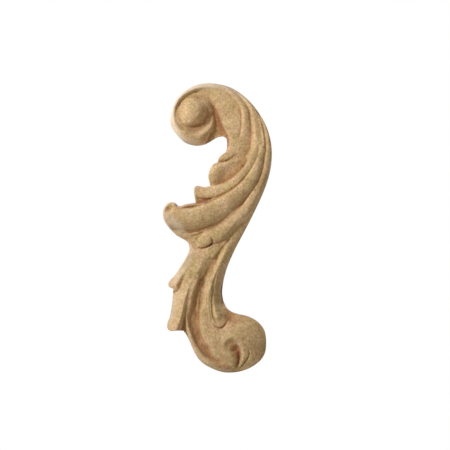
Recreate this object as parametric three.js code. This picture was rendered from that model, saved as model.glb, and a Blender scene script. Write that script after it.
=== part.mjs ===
// Pressed wood-pulp applique: a left-hand acanthus scroll, one solid piece.
// Millimetres, +X right, +Z up.  The flat back lies on the plane y = 0 and
// faces +Y; the carving rises from it towards -Y.
import * as THREE from 'three';

// ---- driving sizes (mm) -----------------------------------------------------
const SKIRT = 0.9;        // square edge left all round at the flat back
const FLOOR = 2.6;        // lowest carved ground
const EDGE_ROUND = 1.5;   // depth over which the face turns down into the edge
const EDGE_RISE = 12.6;   // height that turn would reach on the thickest lobe
const PITCH = 0.86;       // spacing of the surface lattice
const OUTLINE_STEP = 1.0; // spacing of points along the outline
const WALL_ROWS = [0.02, 0.10]; // inward offsets of the rows that form the edge

// ---- outline: named edges, each a smooth curve through a few stations -------
// [x, z]; a corner stands where two edges meet
const EDGES = {
  stem_inner: [
    [2.28, 34.66], [3.53, 33.74], [3.76, 30.02], [3.27, 28.5],
  ],
  lobe1_edge: [
    [3.27, 28.5], [1.71, 27.44], [0.61, 26.22], [0.15, 24.7],
  ],
  lobe2_edge: [
    [0.15, 24.7], [-1.52, 23.86], [-3.31, 19.76], [-2.62, 15.58],
  ],
  lobe3_top: [
    [-2.62, 15.58], [-4.56, 15.28], [-7.49, 15.66], [-8.36, 15.35], [-8.82, 14.06], [-8.21, 9.27],
  ],
  lobe4_top: [
    [-8.21, 9.27], [-12.16, 8.66], [-13.68, 8.09], [-14.93, 8.21], [-15.96, 9.23], [-17.48, 9.46],
    [-18.89, 8.93], [-20.03, 7.6], [-20.63, 5.89], [-20.56, 3.8], [-19.61, 1.33], [-15.81, -2.89],
    [-11.44, -5.66], [-10.56, -7.3], [-10.83, -9.58], [-15.69, -17.86], [-18.54, -21.28], [-18.39, -22.65],
    [-16.87, -23.48],
  ],
  leafA_left: [
    [-16.87, -23.48], [-16.76, -24.7], [-17.94, -33.82], [-18.77, -36.1], [-19.08, -37.81], [-18.62, -39.06],
    [-17.48, -39.67],
  ],
  leafA_foot: [
    [-17.48, -39.67], [-15.2, -39.52], [-12.81, -39.56],
  ],
  rimB: [
    [-12.81, -39.56], [-11.67, -41.12], [-8.36, -48.26], [-6.73, -50.62], [-4.56, -52.52], [1.14, -55.18],
    [4.94, -55.63], [8.74, -55.18], [11.93, -54.11], [14.9, -52.36], [17.33, -49.93], [18.58, -46.82],
    [18.35, -40.28], [16.91, -37.62], [14.63, -35.49], [11.78, -34.05], [6.08, -32.57], [3.8, -30.97],
    [2.36, -28.12],
  ],
  sweep: [
    [2.36, -28.12], [1.94, -24.7], [3.27, -17.33], [6.38, -9.58], [12.54, 2.28], [17.97, 13.91],
    [20.33, 21.58], [20.9, 29.26], [19.46, 36.67], [16.04, 43.36], [11.21, 49.06], [4.94, 53.28],
    [-2.66, 54.8], [-6.46, 54.42], [-10.18, 53.01], [-13.53, 50.69], [-15.88, 47.73], [-17.71, 41.04],
    [-17.1, 37.81], [-13.3, 32.95], [-10.26, 31.43], [-7.22, 31.01], [-4.18, 31.73], [0.38, 34.28],
    [2.28, 34.66],
  ],
};

// ---- carving strokes, laid one after another -----------------------------------
// ridge: [x, z, half width left, half width right, crest height, (side heights left, right)]
// along its own crest, joined to what is there by a soft maximum; line: a raised bead
// (plus) or a cut (minus) added to the surface; boss and dent: ellipses.
// Left and right are as seen travelling along the stroke.
const STROKES = [
  // volute body: x, z, half sizes, turn, top, rim
  { kind: 'boss', p: 1.9, k: 0.8, at: [-1.14, -33.82, 19.76, 22.8, 0, 7.2, 2] },
  // volute right: x, z, half sizes, turn, top, rim
  { kind: 'boss', p: 1.9, k: 1, q: 1, at: [7.6, -41.8, 13.68, 14.06, 0, 7.7, 2] },
  // volute edge
  { kind: 'line', rows: [
    [-6.46, -51.3, 1.14, 1.14, -0.6], [-3.42, -53.58, 1.9, 1.9, -0.63], [0.38, -55.63, 2.66, 2.66, -0.9],
    [4.94, -56.62, 2.66, 2.66, -1.08], [12.54, -54.72, 2.66, 2.66, -0.81], [15.96, -51.83, 2.28, 2.28, -1.2],
    [18.24, -48.26, 2.28, 2.28, -0.6], [19.23, -44.08, 2.28, 2.28, -0.3], [18.62, -39.52, 1.52, 1.52, 0],
  ] },
  // body cut left
  { kind: 'line', rows: [
    [-1.9, -5.7, 3.8, 6.08, -9], [-4.18, -11.02, 4.18, 6.84, -9], [-6.46, -16.34, 4.18, 7.6, -9],
    [-8.36, -20.14, 5.32, 8.36, -6], [-9.12, -23.18, 7.22, 9.12, -4], [-9.88, -26.98, 7.6, 9.12, -4.3],
    [-9.5, -34.58, 8.36, 10.64, -4.5], [-8.89, -39.14, 7.98, 9.88, -4.5], [-7.45, -43.32, 7.22, 7.6, -4.3],
    [-5.32, -47.12, 4.56, 5.32, -3.3], [-2.28, -50.54, 3.42, 3.8, -1.6], [1.37, -52.82, 2.28, 3.04, -1],
    [4.94, -53.96, 1.52, 2.28, -0.5],
  ] },
  // body cut far
  { kind: 'line', rows: [
    [-13.68, -27.74, 2.66, 8.36, -5], [-14.06, -31.16, 2.28, 8.36, -7], [-14.06, -35.34, 2.28, 9.12, -7],
    [-13.3, -39.52, 1.9, 7.6, -6],
  ] },
  // tongue cut
  { kind: 'line', rows: [
    [5.7, -8.74, 4.56, 5.32, -9], [3.8, -13.68, 4.56, 5.32, -9], [2.66, -18.62, 4.94, 4.94, -9],
    [2.66, -23.18, 4.94, 4.94, -8], [3.04, -26.98, 5.32, 4.94, -6], [3.8, -30.4, 4.94, 4.94, -3.04],
    [4.18, -33.29, 4.18, 4.56, -2], [2.66, -35.95, 3.42, 3.42, -0.96],
  ] },
  // corner flat
  { kind: 'line', rows: [
    [3.42, -32.68, 3.04, 3.8, -0.2], [6.46, -33.44, 3.8, 6.08, -1.2], [9.88, -34.05, 3.42, 5.7, -1.1],
    [13.3, -35.57, 2.66, 4.18, -0.4],
  ] },
  // channel top
  { kind: 'ridge', p: 3, k: 0.4, drop: 0.6, rows: [
    [-15.39, 45.22, 1.33, 1.33, 5.2], [-14.29, 48.03, 1.52, 1.52, 6], [-12.16, 50.08, 1.52, 1.75, 6.5],
    [-9.5, 51.3, 1.52, 1.9, 6.7], [-6.46, 51.83, 1.52, 1.9, 6.8],
  ] },
  // valley floor
  { kind: 'ridge', p: 4, k: 0.8, drop: 0.3, rows: [
    [-2.36, 46.74, 1.14, 1.52, 6.2], [-0.15, 42.94, 1.9, 1.9, 4.9], [0.53, 39.9, 2.47, 3.04, 4.3],
    [0.46, 36.48, 4.18, 3.8, 4.1], [0.46, 33.44, 4.56, 4.56, 4.1],
  ] },
  // G1 floor
  { kind: 'ridge', p: 4, k: 0.4, drop: 0.3, rows: [
    [6.84, 50.73, 1.33, 1.33, 6.1], [9.35, 49.02, 1.33, 1.52, 6.4], [11.78, 46.36, 1.37, 1.52, 6.6],
    [13.72, 38.38, 1.37, 1.82, 6.6], [12.65, 30.78, 1.6, 2.43, 6.5], [7.71, 21.81, 1.52, 2.28, 6.25],
  ] },
  // G2 floor
  { kind: 'ridge', p: 4, k: 0.4, drop: 0.5, rows: [
    [13, 48.75, 1.52, 1.52, 5.5], [15.88, 44.76, 1.52, 1.67, 6.6], [17.78, 40.2, 1.29, 1.75, 7.8],
    [18.85, 31.08, 1.22, 1.9, 7.9], [15.85, 18.39, 1.52, 2.13, 7.75], [11.48, 12.01, 1.9, 2.13, 7.55],
    [9.12, 9.35, 1.9, 2.28, 7.35], [6.31, 6.61, 2.28, 2.28, 8.15], [-1.52, 1.29, 3.04, 2.28, 7.65],
    [-10.26, -1.37, 3.04, 2.28, 7.35], [-13.3, -1.52, 2.28, 2.28, 7.35],
  ] },
  // under floor
  { kind: 'ridge', p: 4, k: 0.4, drop: 0.4, rows: [
    [9.5, 3.04, 0.53, 1.9, 6.45], [6.84, -0.76, 0.61, 1.9, 6.45], [0.99, -6.46, 1.52, 2.66, 6.7],
    [-2.66, -8.74, 3.04, 3.04, 7.5],
  ] },
  // lobe floor
  { kind: 'ridge', p: 5, k: 0.4, drop: 0.4, rows: [
    [11.78, 26.98, 1.9, 1.9, 6.5], [10.49, 25.84, 2.28, 2.66, 6.6], [8.74, 25.46, 1.9, 3.04, 6.3],
    [6.46, 22.42, 3.04, 3.8, 6.8], [3.42, 19.38, 3.04, 4.18, 6.7], [-0.38, 16.72, 3.04, 3.42, 6.6],
    [-4.18, 11.02, 3.42, 3.42, 7.3], [-7.22, 9.12, 3.42, 3.42, 7.8],
  ] },
  // lobe gap
  { kind: 'ridge', p: 4, k: 0.4, drop: 0.4, rows: [
    [4.94, 25.27, 1.52, 1.52, 6.2], [2.28, 24.32, 1.52, 1.52, 6.4], [-0.19, 23.56, 1.9, 1.9, 6.4],
  ] },
  // face
  { kind: 'ridge', p: 2.2, k: 0.5, q: 0.6, rows: [
    [-9.88, 50.84, 1.52, 1.29, 5.5, 4.6, 4.4], [-6.46, 50.77, 2.28, 2.43, 6.6, 5.4, 4.8],
    [-3.42, 49.78, 3.04, 2.28, 6.6, 5.6, 4.8], [0, 47.65, 3.8, 1.9, 6.55, 6, 6.15],
    [3.04, 44.46, 6.08, 2.89, 7, 6.3, 6.55], [4.94, 40.74, 6.08, 3.27, 7.1, 6.3, 6.75],
    [6.99, 36.48, 5.7, 3.19, 7.2, 6.3, 6.75], [7.22, 32.68, 5.32, 2.66, 7.1, 6.2, 5.8],
    [7.41, 29.26, 4.94, 3.8, 7, 6, 5.6], [5.7, 25.84, 4.18, 2.66, 6.7, 5.6, 5.6],
  ] },
  // face top
  { kind: 'ridge', p: 1.1, k: 0.4, q: 1, drop: 1.7, rows: [
    [-9.5, 51.53, 1.14, 1.9, 6.15], [-6.46, 52.21, 1.14, 3.04, 7.2], [1.14, 51.76, 1.14, 5.7, 7.95],
    [7.22, 47.65, 1.14, 4.94, 7.4], [8.89, 44.84, 1.14, 3.8, 7],
  ] },
  // neck
  { kind: 'ridge', p: 1.8, k: 1.6, q: 0.8, side: 4.8, rows: [
    [-8.36, 46.36, 2.28, 2.28, 9], [-6.23, 47.12, 2.66, 3.04, 8.6], [-4.18, 46.36, 2.66, 3.04, 8.1],
    [-2.89, 44.23, 1.9, 2.66, 7.4],
  ] },
  // rim
  { kind: 'ridge', p: 2, k: 0.3, rows: [
    [8.74, 31.92, 1.29, 3.42, 7, 6.9, 6], [10.26, 36.1, 1.14, 2.81, 7.4, 6.9, 5.9],
    [10.18, 43.7, 0.99, 2.28, 7.9, 6.8, 5.9], [9.04, 46.74, 0.99, 1.9, 7.9, 6.7, 5.9],
    [4.94, 51.15, 0.99, 1.52, 7.8, 6.4, 5.4], [1.52, 52.52, 0.99, 2.09, 8, 6.1, 4.4],
    [-6.35, 52.97, 0.99, 1.52, 8.5, 5, 4.2], [-10.15, 51.76, 1.06, 1.71, 8.7, 4.4, 4.2],
    [-13.41, 49.48, 1.14, 1.82, 8.8, 4.2, 4.2], [-15.43, 46.74, 1.14, 1.9, 8.8, 4, 4.2],
    [-16.26, 43.7, 1.14, 1.75, 8.5, 4, 4.2], [-16.11, 40.66, 1.29, 1.9, 8.5, 4, 4.2],
    [-14.9, 37.77, 1.75, 2.66, 8.5, 4, 4], [-12.69, 35.8, 2.2, 3.65, 8.8, 4.2, 4.5],
    [-9.88, 35.34, 2.13, 4.41, 8.8, 4.2, 3.1], [-7.07, 35.72, 2.05, 4.94, 8.6, 4.2, 2.7],
    [-5.17, 36.86, 1.6, 3.42, 8.1, 4.2, 2.5], [-3.72, 38.46, 1.22, 2.55, 7.5, 4.2, 3.3],
    [-2.58, 42.03, 0.65, 1.94, 6.8, 4.2, 3.3], [-2.81, 43.4, 0.53, 1.41, 6.2, 4.2, 3.3],
  ] },
  // ball: x, z, half sizes, turn, top, rim
  { kind: 'boss', p: 2, k: 0.5, q: 0.62, at: [-9.2, 43.62, 6.23, 6.38, 0, 10.6, 5.6] },
  // ball shade side
  { kind: 'line', rows: [
    [-2.66, 48.26, 2.28, 2.28, -0.2], [-2.66, 44.84, 3.04, 3.04, -0.9], [-3.42, 41.8, 3.42, 3.42, -2],
    [-5.32, 38.91, 3.42, 3.42, -2.8], [-8.74, 37.24, 3.04, 3.04, -2], [-11.78, 37.62, 2.28, 2.28, -0.8],
  ] },
  // channel: x, z, half sizes, turn, top, rim
  { kind: 'boss', p: 6, k: 0.4, at: [-10.26, 43.13, 6.65, 8.74, 0, 5.9, 5.2] },
  // channel left
  { kind: 'ridge', p: 3, k: 0.6, drop: 0.8, rows: [
    [-4.18, 49.17, 1.14, 1.52, 6.7], [-6.46, 49.78, 1.22, 1.52, 7.2], [-12.92, 49.17, 1.29, 1.29, 7.4],
    [-14.52, 46.74, 1.29, 1.29, 7.5], [-15.12, 41.42, 1.22, 1.22, 8.1], [-13.91, 38.91, 1.22, 1.22, 7.8],
    [-11.78, 37.24, 1.22, 1.22, 7.3], [-8.74, 36.63, 1.14, 1.14, 6.5], [-5.7, 37.62, 1.14, 1.14, 5.8],
    [-3.95, 39.67, 0.99, 0.99, 5.8], [-3.19, 42.56, 0.76, 0.76, 5.8],
  ] },
  // lobe 1
  { kind: 'ridge', p: 2.4, k: 0.4, rows: [
    [7.6, 29.07, 1.52, 2.66, 6.9, 6, 5.6], [5.13, 27.66, 1.75, 2.66, 7.3, 5.8, 6],
    [2.85, 26.52, 1.67, 2.28, 7.4, 5.6, 6], [0.61, 25.92, 1.22, 2.28, 7.2, 5.8, 6],
  ] },
  // lobe 2
  { kind: 'ridge', p: 1.5, k: 0.6, q: 0.9, rows: [
    [8.74, 25.65, 1.52, 0.99, 6.6, 5.4, 5.8], [3.65, 24.09, 4.56, 0.99, 7.8, 5.2, 5.8],
    [1.14, 23.18, 5.32, 1.37, 8.3, 5.2, 6], [-0.91, 21.66, 6.08, 2.28, 8.4, 5.4, 6],
  ] },
  // lobe 2 rim
  { kind: 'ridge', p: 2, k: 0.4, drop: 1.4, rows: [
    [-0.38, 22.8, 0.99, 1.9, 7.6], [-1.37, 21.05, 0.84, 1.9, 7.3], [-1.37, 17.1, 0.84, 1.9, 6.9],
    [-0.38, 15.81, 0.99, 1.52, 6.9],
  ] },
  // rib 2
  { kind: 'ridge', p: 1.9, k: 0.3, q: 0.65, rows: [
    [3.95, 52.59, 1.14, 1.14, 6.6, 5, 5.8], [7.75, 50.84, 1.67, 1.14, 6.9, 4.8, 5.4],
    [12.84, 45.45, 2.51, 1.14, 7.8, 4.8, 5.2], [13.91, 41.8, 3.04, 1.29, 7.6, 6.1, 6.15],
    [14.67, 37.62, 3.42, 1.52, 7.7, 6.1, 6.15], [15.05, 33.44, 3.8, 1.75, 7.9, 6.3, 6.15],
    [14.52, 29.64, 4.18, 1.9, 8.2, 6.5, 6.25], [13.07, 26.3, 2.05, 2.13, 9.1, 6.4, 5.5],
  ] },
  // lobe 3
  { kind: 'ridge', p: 2.2, k: 0.5, drop: 1.1, rows: [
    [14.59, 29.64, 1.52, 1.14, 8.6], [13.53, 26.07, 1.98, 1.14, 8.9], [9.12, 19.46, 2.05, 1.37, 9.1],
    [4.18, 15.35, 2.2, 1.9, 9.2], [-1.75, 13.15, 2.28, 2.36, 9.2], [-7.79, 12.92, 1.82, 2.43, 8.8],
  ] },
  // lobe 4
  { kind: 'ridge', p: 2, k: 0.4, rows: [
    [16.95, 30.4, 1.67, 0.91, 8.3, 6.8, 7.2], [15.58, 25.69, 2.66, 1.22, 8.8, 6.6, 7.7],
    [12.39, 18.62, 3.72, 2.13, 9.5, 6.5, 8.2], [10.11, 15.81, 4.18, 2.2, 9.8, 6.1, 8.4],
    [2.43, 9.65, 5.47, 2.58, 10.6, 6.2, 8.7], [-1.22, 7.83, 6.23, 2.96, 11, 6.7, 8.7],
    [-5.32, 6.46, 6.46, 2.66, 11.4, 6.8, 8.6], [-9.5, 5.62, 6.61, 3.42, 11.8, 7, 8.6],
    [-13.3, 5.7, 6.69, 3.8, 12.1, 7.2, 9.3], [-17.48, 5.17, 5.7, 4.56, 11.8, 7.6, 9.1],
  ] },
  // lobe 5
  { kind: 'ridge', p: 2.2, k: 0.2, rows: [
    [14.44, 47.27, 1.52, 0.68, 6.05, 1, 5], [16.87, 43.85, 1.29, 0.76, 6.8, 1, 6],
    [18.89, 39.9, 1.37, 0.84, 7.55, 1, 6.8], [19.8, 35.72, 1.6, 0.87, 7.35, 1, 7],
    [20.1, 31.16, 1.82, 0.95, 7.55, 1, 7.1], [18.39, 21.89, 2.51, 1.14, 7.75, 1, 7.1],
    [16.87, 17.71, 2.89, 1.22, 7.87, 1, 7.1], [15.05, 13.76, 3.27, 1.29, 8.07, 1, 7.9],
    [12.77, 10.18, 3.57, 1.52, 8.27, 1.4, 7.7], [10.26, 6.31, 3.57, 1.82, 8.42, 3, 7.5],
    [7.14, 3.19, 2.58, 2.2, 8.52, 5, 7.4], [4.18, 0.08, 2.74, 2.51, 8.52, 5.8, 7.3],
    [0.84, -2.2, 3.12, 2.81, 8.7, 6.2, 6.9], [-2.66, -3.65, 3.04, 2.66, 8.5, 6.3, 6.3],
    [-5.02, -5.09, 2.96, 2.47, 8.2, 6.7, 6.2], [-6.31, -6.16, 2.13, 1.9, 7.9, 6.7, 6.2],
  ] },
  // fold
  { kind: 'ridge', p: 2.2, k: 0.4, drop: 1.9, rows: [
    [-19.76, 5.32, 3.42, 3.04, 9], [-17.67, 2.05, 3.04, 3.04, 8.3], [-12.69, -2.58, 1.29, 2.66, 7.5],
    [-10.26, -3.72, 1.22, 2.66, 7.3], [-8.36, -4.94, 1.29, 3.04, 7.2],
  ] },
  // fold between
  { kind: 'ridge', p: 2, k: 0.3, drop: 1, rows: [
    [-14.82, -0.61, 0.76, 0.76, 7.9], [-12.54, -1.37, 0.84, 0.91, 7.8], [-4.56, -0.38, 0.76, 0.91, 7.4],
  ] },
  // rib 5
  { kind: 'ridge', p: 1.5, k: 0.5, q: 0.85, rows: [
    [13.3, 9.12, 4.18, 1.14, 5.9, 4.4, 4.2], [11.25, 5.32, 4.18, 1.52, 6.3, 4.4, 4.6],
    [8.89, 1.52, 4.18, 1.9, 6, 3.6, 4.8], [6.84, -2.28, 4.56, 1.9, 6.4, 3.6, 4.7],
    [4.71, -6.31, 3.99, 1.67, 6.55, 3.3, 4.6], [2.51, -10.64, 4.14, 1.44, 7.5, 2.1, 4.4],
    [0.61, -14.82, 3.8, 1.9, 7.4, 2.1, 4.2], [-0.99, -18.62, 3.95, 1.82, 7, 2.1, 4.1],
    [-2.74, -22.42, 4.41, 2.2, 6.7, 3.1, 4], [-3.65, -26.22, 5.32, 2.13, 6.7, 3.3, 4],
    [-4.1, -29.64, 6.08, 1.67, 6.7, 3.9, 4], [-4.03, -32.3, 5.93, 1.82, 6.7, 3.4, 4.5],
    [-3.19, -34.81, 4.56, 3.04, 6.7, 5.4, 5.5], [-1.98, -36.63, 3.04, 3.04, 6.4, 6.4, 6.5],
  ] },
  // rib 5 top
  { kind: 'ridge', p: 2.6, k: 0.8, drop: 1.3, rows: [
    [-0.68, -18.62, 1.29, 1.06, 6], [-3.12, -26.22, 1.29, 1.9, 6.5], [-3.72, -29.64, 1.29, 2.05, 6.6],
    [-4.33, -32.68, 1.9, 2.28, 6.7], [-3.19, -39.14, 2.66, 3.04, 6.6], [-1.52, -42.18, 3.04, 3.42, 6.6],
  ] },
  // leaf A
  { kind: 'ridge', p: 1.25, k: 0.3, q: 1, rows: [
    [-3.04, -6.46, 3.8, 6.08, 6.9, 5.9, 6.7], [-4.41, -10.26, 4.41, 6.46, 7.2, 5.7, 6.7],
    [-5.93, -13.91, 3.57, 6.84, 7.5, 5.4, 6.7], [-7.75, -17.33, 2.74, 6.46, 7.8, 5.9, 6.5],
    [-9.5, -20.29, 1.6, 6.08, 7.6, 5.9, 6.3], [-12.16, -27.51, 1.25, 5.7, 7.9, 5.9, 4.4],
    [-13, -31.31, 1.33, 5.7, 8, 5.8, 3.7], [-13.68, -34.73, 1.37, 5.7, 8, 5.6, 3.7],
    [-14.82, -37.47, 1.67, 5.7, 7.9, 5.2, 3.7], [-15.5, -39.9, 1.67, 5.7, 7.2, 4.8, 3.4],
  ] },
  // thorn
  { kind: 'ridge', p: 1.25, k: 0.3, q: 1, rows: [
    [-10.26, -14.06, 1.52, 3.42, 6.8, 6.7, 5.2], [-12.31, -16.57, 1.14, 3.42, 7.1, 6.7, 5.2],
    [-15.28, -21.89, 0.99, 3.42, 7.4, 6.7, 5], [-15.96, -23.41, 0.99, 3.42, 6.6, 6.5, 5],
  ] },
  // leaf groove
  { kind: 'ridge', p: 4, k: 0.5, drop: 0.3, rows: [
    [-7.75, -19, 1.14, 1.14, 7.8], [-10.03, -23.94, 1.52, 1.52, 7.2], [-12.16, -31.92, 1.9, 1.52, 6.2],
    [-13.07, -39.14, 2.28, 1.52, 4.4],
  ] },
  // valley
  { kind: 'ridge', p: 4, k: 0.8, drop: 0.3, rows: [
    [2.43, -6.31, 1.82, 1.52, 6.2], [0.53, -10.11, 2.28, 2.28, 6], [-0.99, -13.3, 1.9, 1.9, 5.8],
    [-2.74, -16.34, 2.28, 1.9, 5.4], [-5.47, -23.94, 3.42, 2.81, 5], [-6.84, -28.12, 3.8, 3.19, 4.3],
    [-6.92, -40.28, 3.95, 3.27, 4.2], [-5.93, -44.23, 3.65, 3.19, 4.7], [-4.18, -47.88, 3.04, 3.04, 4.1],
    [-1.67, -50.92, 2.66, 2.28, 3.8], [1.52, -52.82, 2.28, 1.9, 3.7],
  ] },
  // valley slope
  { kind: 'ridge', p: 1.1, k: 0.4, q: 1, drop: 0.9, rows: [
    [-7.37, -19, 1.14, 0.76, 5.95], [-8.51, -21.28, 1.9, 0.76, 5.85], [-10.18, -27.74, 2.51, 0.76, 5.2],
    [-10.41, -38, 2.43, 0.76, 5.1], [-7.52, -45.22, 2.28, 0.76, 5], [-5.7, -48.03, 1.9, 0.76, 4.8],
  ] },
  // rim B
  { kind: 'ridge', p: 2, k: 0.3, drop: 2.8, rows: [
    [-7.45, -18.47, 0.61, 0.46, 6.3], [-8.82, -20.98, 0.68, 0.57, 6.3], [-10.83, -26.98, 0.68, 0.61, 6.4],
    [-11.36, -36.1, 0.84, 0.84, 6.55], [-7.07, -47.12, 1.03, 1.67, 6.4], [-2.89, -51.07, 1.06, 2.36, 5.5],
    [3.04, -52.74, 1.22, 2.66, 4.7], [6.46, -52.82, 1.29, 2.74, 4.3],
  ] },
  // lobe 5 notch: x, z, half sizes, turn, top, rim
  { kind: 'dent', p: 2, k: 0.3, at: [-1.82, -4.86, 0.65, 0.99, 20, 7.2, 9.4] },
  // thorn slit
  { kind: 'line', sharp: true, rows: [
    [-10.79, -15.96, 0.31, 0.41, -0.06], [-12.08, -18.39, 0.34, 0.44, -0.2],
    [-13.38, -20.9, 0.34, 0.51, -0.33], [-14.29, -23.79, 0.41, 0.55, -0.43],
  ] },
  // bottom slope
  { kind: 'line', rows: [
    [-5.32, -52.44, 1.52, 1.52, -0.5], [-3.04, -54.72, 3.04, 3.04, -1.5], [0.38, -56.77, 4.56, 4.56, -2.4],
    [4.94, -57.53, 4.94, 4.94, -2.9], [8.74, -57, 4.56, 4.56, -2.4], [12.16, -55.1, 3.42, 3.42, -1.2],
    [15.2, -52.82, 2.28, 2.28, -0.4],
  ] },
  // eye: x, z, half sizes, turn, top, rim
  { kind: 'dent', p: 3.4, k: 0.4, at: [5.4, -45.68, 3.8, 3.88, 0, 5.9, 8] },
  // curl: x, z, half sizes, turn, top, rim
  { kind: 'boss', p: 2.2, k: 0.5, at: [4.03, -51.15, 3.34, 3.19, 0, 5.2, 4.2] },
  // eye slope
  { kind: 'line', rows: [
    [7.22, -44.08, 1.14, 3.42, -0.6], [8.36, -46.36, 1.29, 4.56, -2.4], [8.44, -50.54, 1.37, 2.51, -2.1],
    [7.75, -52.44, 1.29, 1.9, -1.7], [6.84, -53.96, 0.91, 1.52, -0.8],
  ] },
  // slit 1
  { kind: 'line', sharp: true, rows: [
    [8.36, -47.5, 0.61, 0.53, -0.4], [8.36, -49.4, 0.61, 0.53, -0.8], [7.9, -51.45, 0.61, 0.53, -0.8],
    [6.99, -53.2, 0.53, 0.46, -0.4],
  ] },
  // tip hollow: x, z, half sizes, turn, top, rim
  { kind: 'dent', p: 2.4, k: 0.3, at: [-18.01, 6.99, 2.36, 1.75, 32, 10.5, 12.4] },
];

// ---- curves -------------------------------------------------------------------
// centripetal Catmull-Rom through rows whose first two numbers are x and z; every
// further number is carried along and interpolated with them
function spline(rows, n) {
  const last = rows.length - 1;
  const mirror = (a, b) => a.map((v, i) => 2 * v - b[i]);
  const pts = [mirror(rows[0], rows[1]), ...rows, mirror(rows[last], rows[last - 1])];
  const out = [];
  for (let i = 1; i < pts.length - 2; i++) {
    const [p0, p1, p2, p3] = pts.slice(i - 1, i + 3);
    const span = (a, b) => Math.sqrt(Math.max(Math.hypot(b[0] - a[0], b[1] - a[1]), 1e-6));
    const d0 = span(p0, p1), d1 = span(p1, p2), d2 = span(p2, p3);
    for (let s = 0; s < n; s++) {
      const t = s / n, t2 = t * t, t3 = t2 * t;
      out.push(p1.map((v, c) => {
        const m1 = ((v - p0[c]) / d0 - (p2[c] - p0[c]) / (d0 + d1) + (p2[c] - v) / d1) * d1;
        const m2 = ((p2[c] - v) / d1 - (p3[c] - v) / (d1 + d2) + (p3[c] - p2[c]) / d2) * d1;
        return v * (2 * t3 - 3 * t2 + 1) + m1 * (t3 - 2 * t2 + t)
          + p2[c] * (3 * t2 - 2 * t3) + m2 * (t3 - t2);
      }));
    }
  }
  out.push(rows[last].slice());
  return out;
}

// nearest point of a curve: signed distance (plus on the right of travel) and the
// numbers carried there
function nearest(curve, x, z) {
  let best = Infinity, at = 0, along = 0;
  for (let i = 0; i < curve.length - 1; i++) {
    const a = curve[i], b = curve[i + 1];
    const dx = b[0] - a[0], dz = b[1] - a[1];
    const t = Math.min(1, Math.max(0, ((x - a[0]) * dx + (z - a[1]) * dz) / (dx * dx + dz * dz + 1e-12)));
    const q = (x - a[0] - t * dx) ** 2 + (z - a[1] - t * dz) ** 2;
    if (q < best) { best = q; at = i; along = t; }
  }
  const a = curve[at], b = curve[at + 1];
  const turn = (b[0] - a[0]) * (z - a[1]) - (b[1] - a[1]) * (x - a[0]);
  const row = a.map((v, c) => v + (b[c] - v) * along);
  return { d: Math.sqrt(best) * (turn > 0 ? -1 : 1), row };
}

// ---- smooth joins and profiles ---------------------------------------------------
const clamp = (v, lo, hi) => Math.min(hi, Math.max(lo, v));
function softMax(a, b, k) {
  const h = clamp(0.5 + 0.5 * (a - b) / k, 0, 1);
  return b * (1 - h) + a * h + k * h * (1 - h);
}
const softMin = (a, b, k) => -softMax(-a, -b, k);
const bell = (t) => (t < 1 ? (1 - t * t) ** 2 : 0);
const vee = (t) => (t < 1 ? (1 - t) ** 1.6 : 0);

// ---- the relief: height of the face above the flat back --------------------------
for (const s of STROKES) {
  if (!s.rows) continue;
  s.curve = spline(s.rows, 8);
  const pad = Math.max(...s.rows.map((r) => Math.max(r[2], r[3]))) + 0.6;
  s.box = [Math.min(...s.rows.map((r) => r[0])) - pad, Math.max(...s.rows.map((r) => r[0])) + pad,
    Math.min(...s.rows.map((r) => r[1])) - pad, Math.max(...s.rows.map((r) => r[1])) + pad];
}
function carve(h, s, x, z) {
  if (s.rows) {
    if (x < s.box[0] || x > s.box[1] || z < s.box[2] || z > s.box[3]) return h;
    const { d, row } = nearest(s.curve, x, z);
    const t = Math.abs(d) / Math.max(d < 0 ? row[2] : row[3], 0.1);
    if (s.kind === 'line') return h + row[4] * (s.sharp ? vee(t) : bell(t));
    if (t >= 1) return h;
    const side = row.length > 5 ? (d < 0 ? row[5] : row[6]) : (s.drop !== undefined ? row[4] - s.drop : s.side);
    return softMax(h, side + (row[4] - side) * (1 - t ** s.p) ** (s.q ?? 0.5), s.k);
  }
  const [cx, cz, rx, rz, turn, top, rim] = s.at;
  const c = Math.cos(turn * Math.PI / 180), q = Math.sin(turn * Math.PI / 180);
  const a = ((x - cx) * c + (z - cz) * q) / rx, b = (-(x - cx) * q + (z - cz) * c) / rz;
  const t = Math.hypot(a, b);
  if (s.kind === 'dent') return t < 1.4 ? softMin(h, top + (rim - top) * t ** s.p, s.k) : h;
  return t < 1 ? softMax(h, rim + (top - rim) * (1 - t ** s.p) ** (s.q ?? 0.5), s.k) : h;
}

// ---- outline polygon -------------------------------------------------------------
function evenly(rows, step) {
  const fine = spline(rows, 24), cum = [0];
  for (let i = 1; i < fine.length; i++) cum.push(cum[i - 1] + Math.hypot(fine[i][0] - fine[i - 1][0], fine[i][1] - fine[i - 1][1]));
  const n = Math.max(2, Math.round(cum[cum.length - 1] / step)), out = [];
  for (let k = 0, i = 0; k < n; k++) {
    const s = cum[cum.length - 1] * k / n;
    while (cum[i + 1] < s) i++;
    const t = (s - cum[i]) / (cum[i + 1] - cum[i]);
    out.push([fine[i][0] + (fine[i + 1][0] - fine[i][0]) * t, fine[i][1] + (fine[i + 1][1] - fine[i][1]) * t]);
  }
  return out;
}
const outline = Object.values(EDGES).flatMap((rows) => evenly(rows, OUTLINE_STEP));

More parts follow.
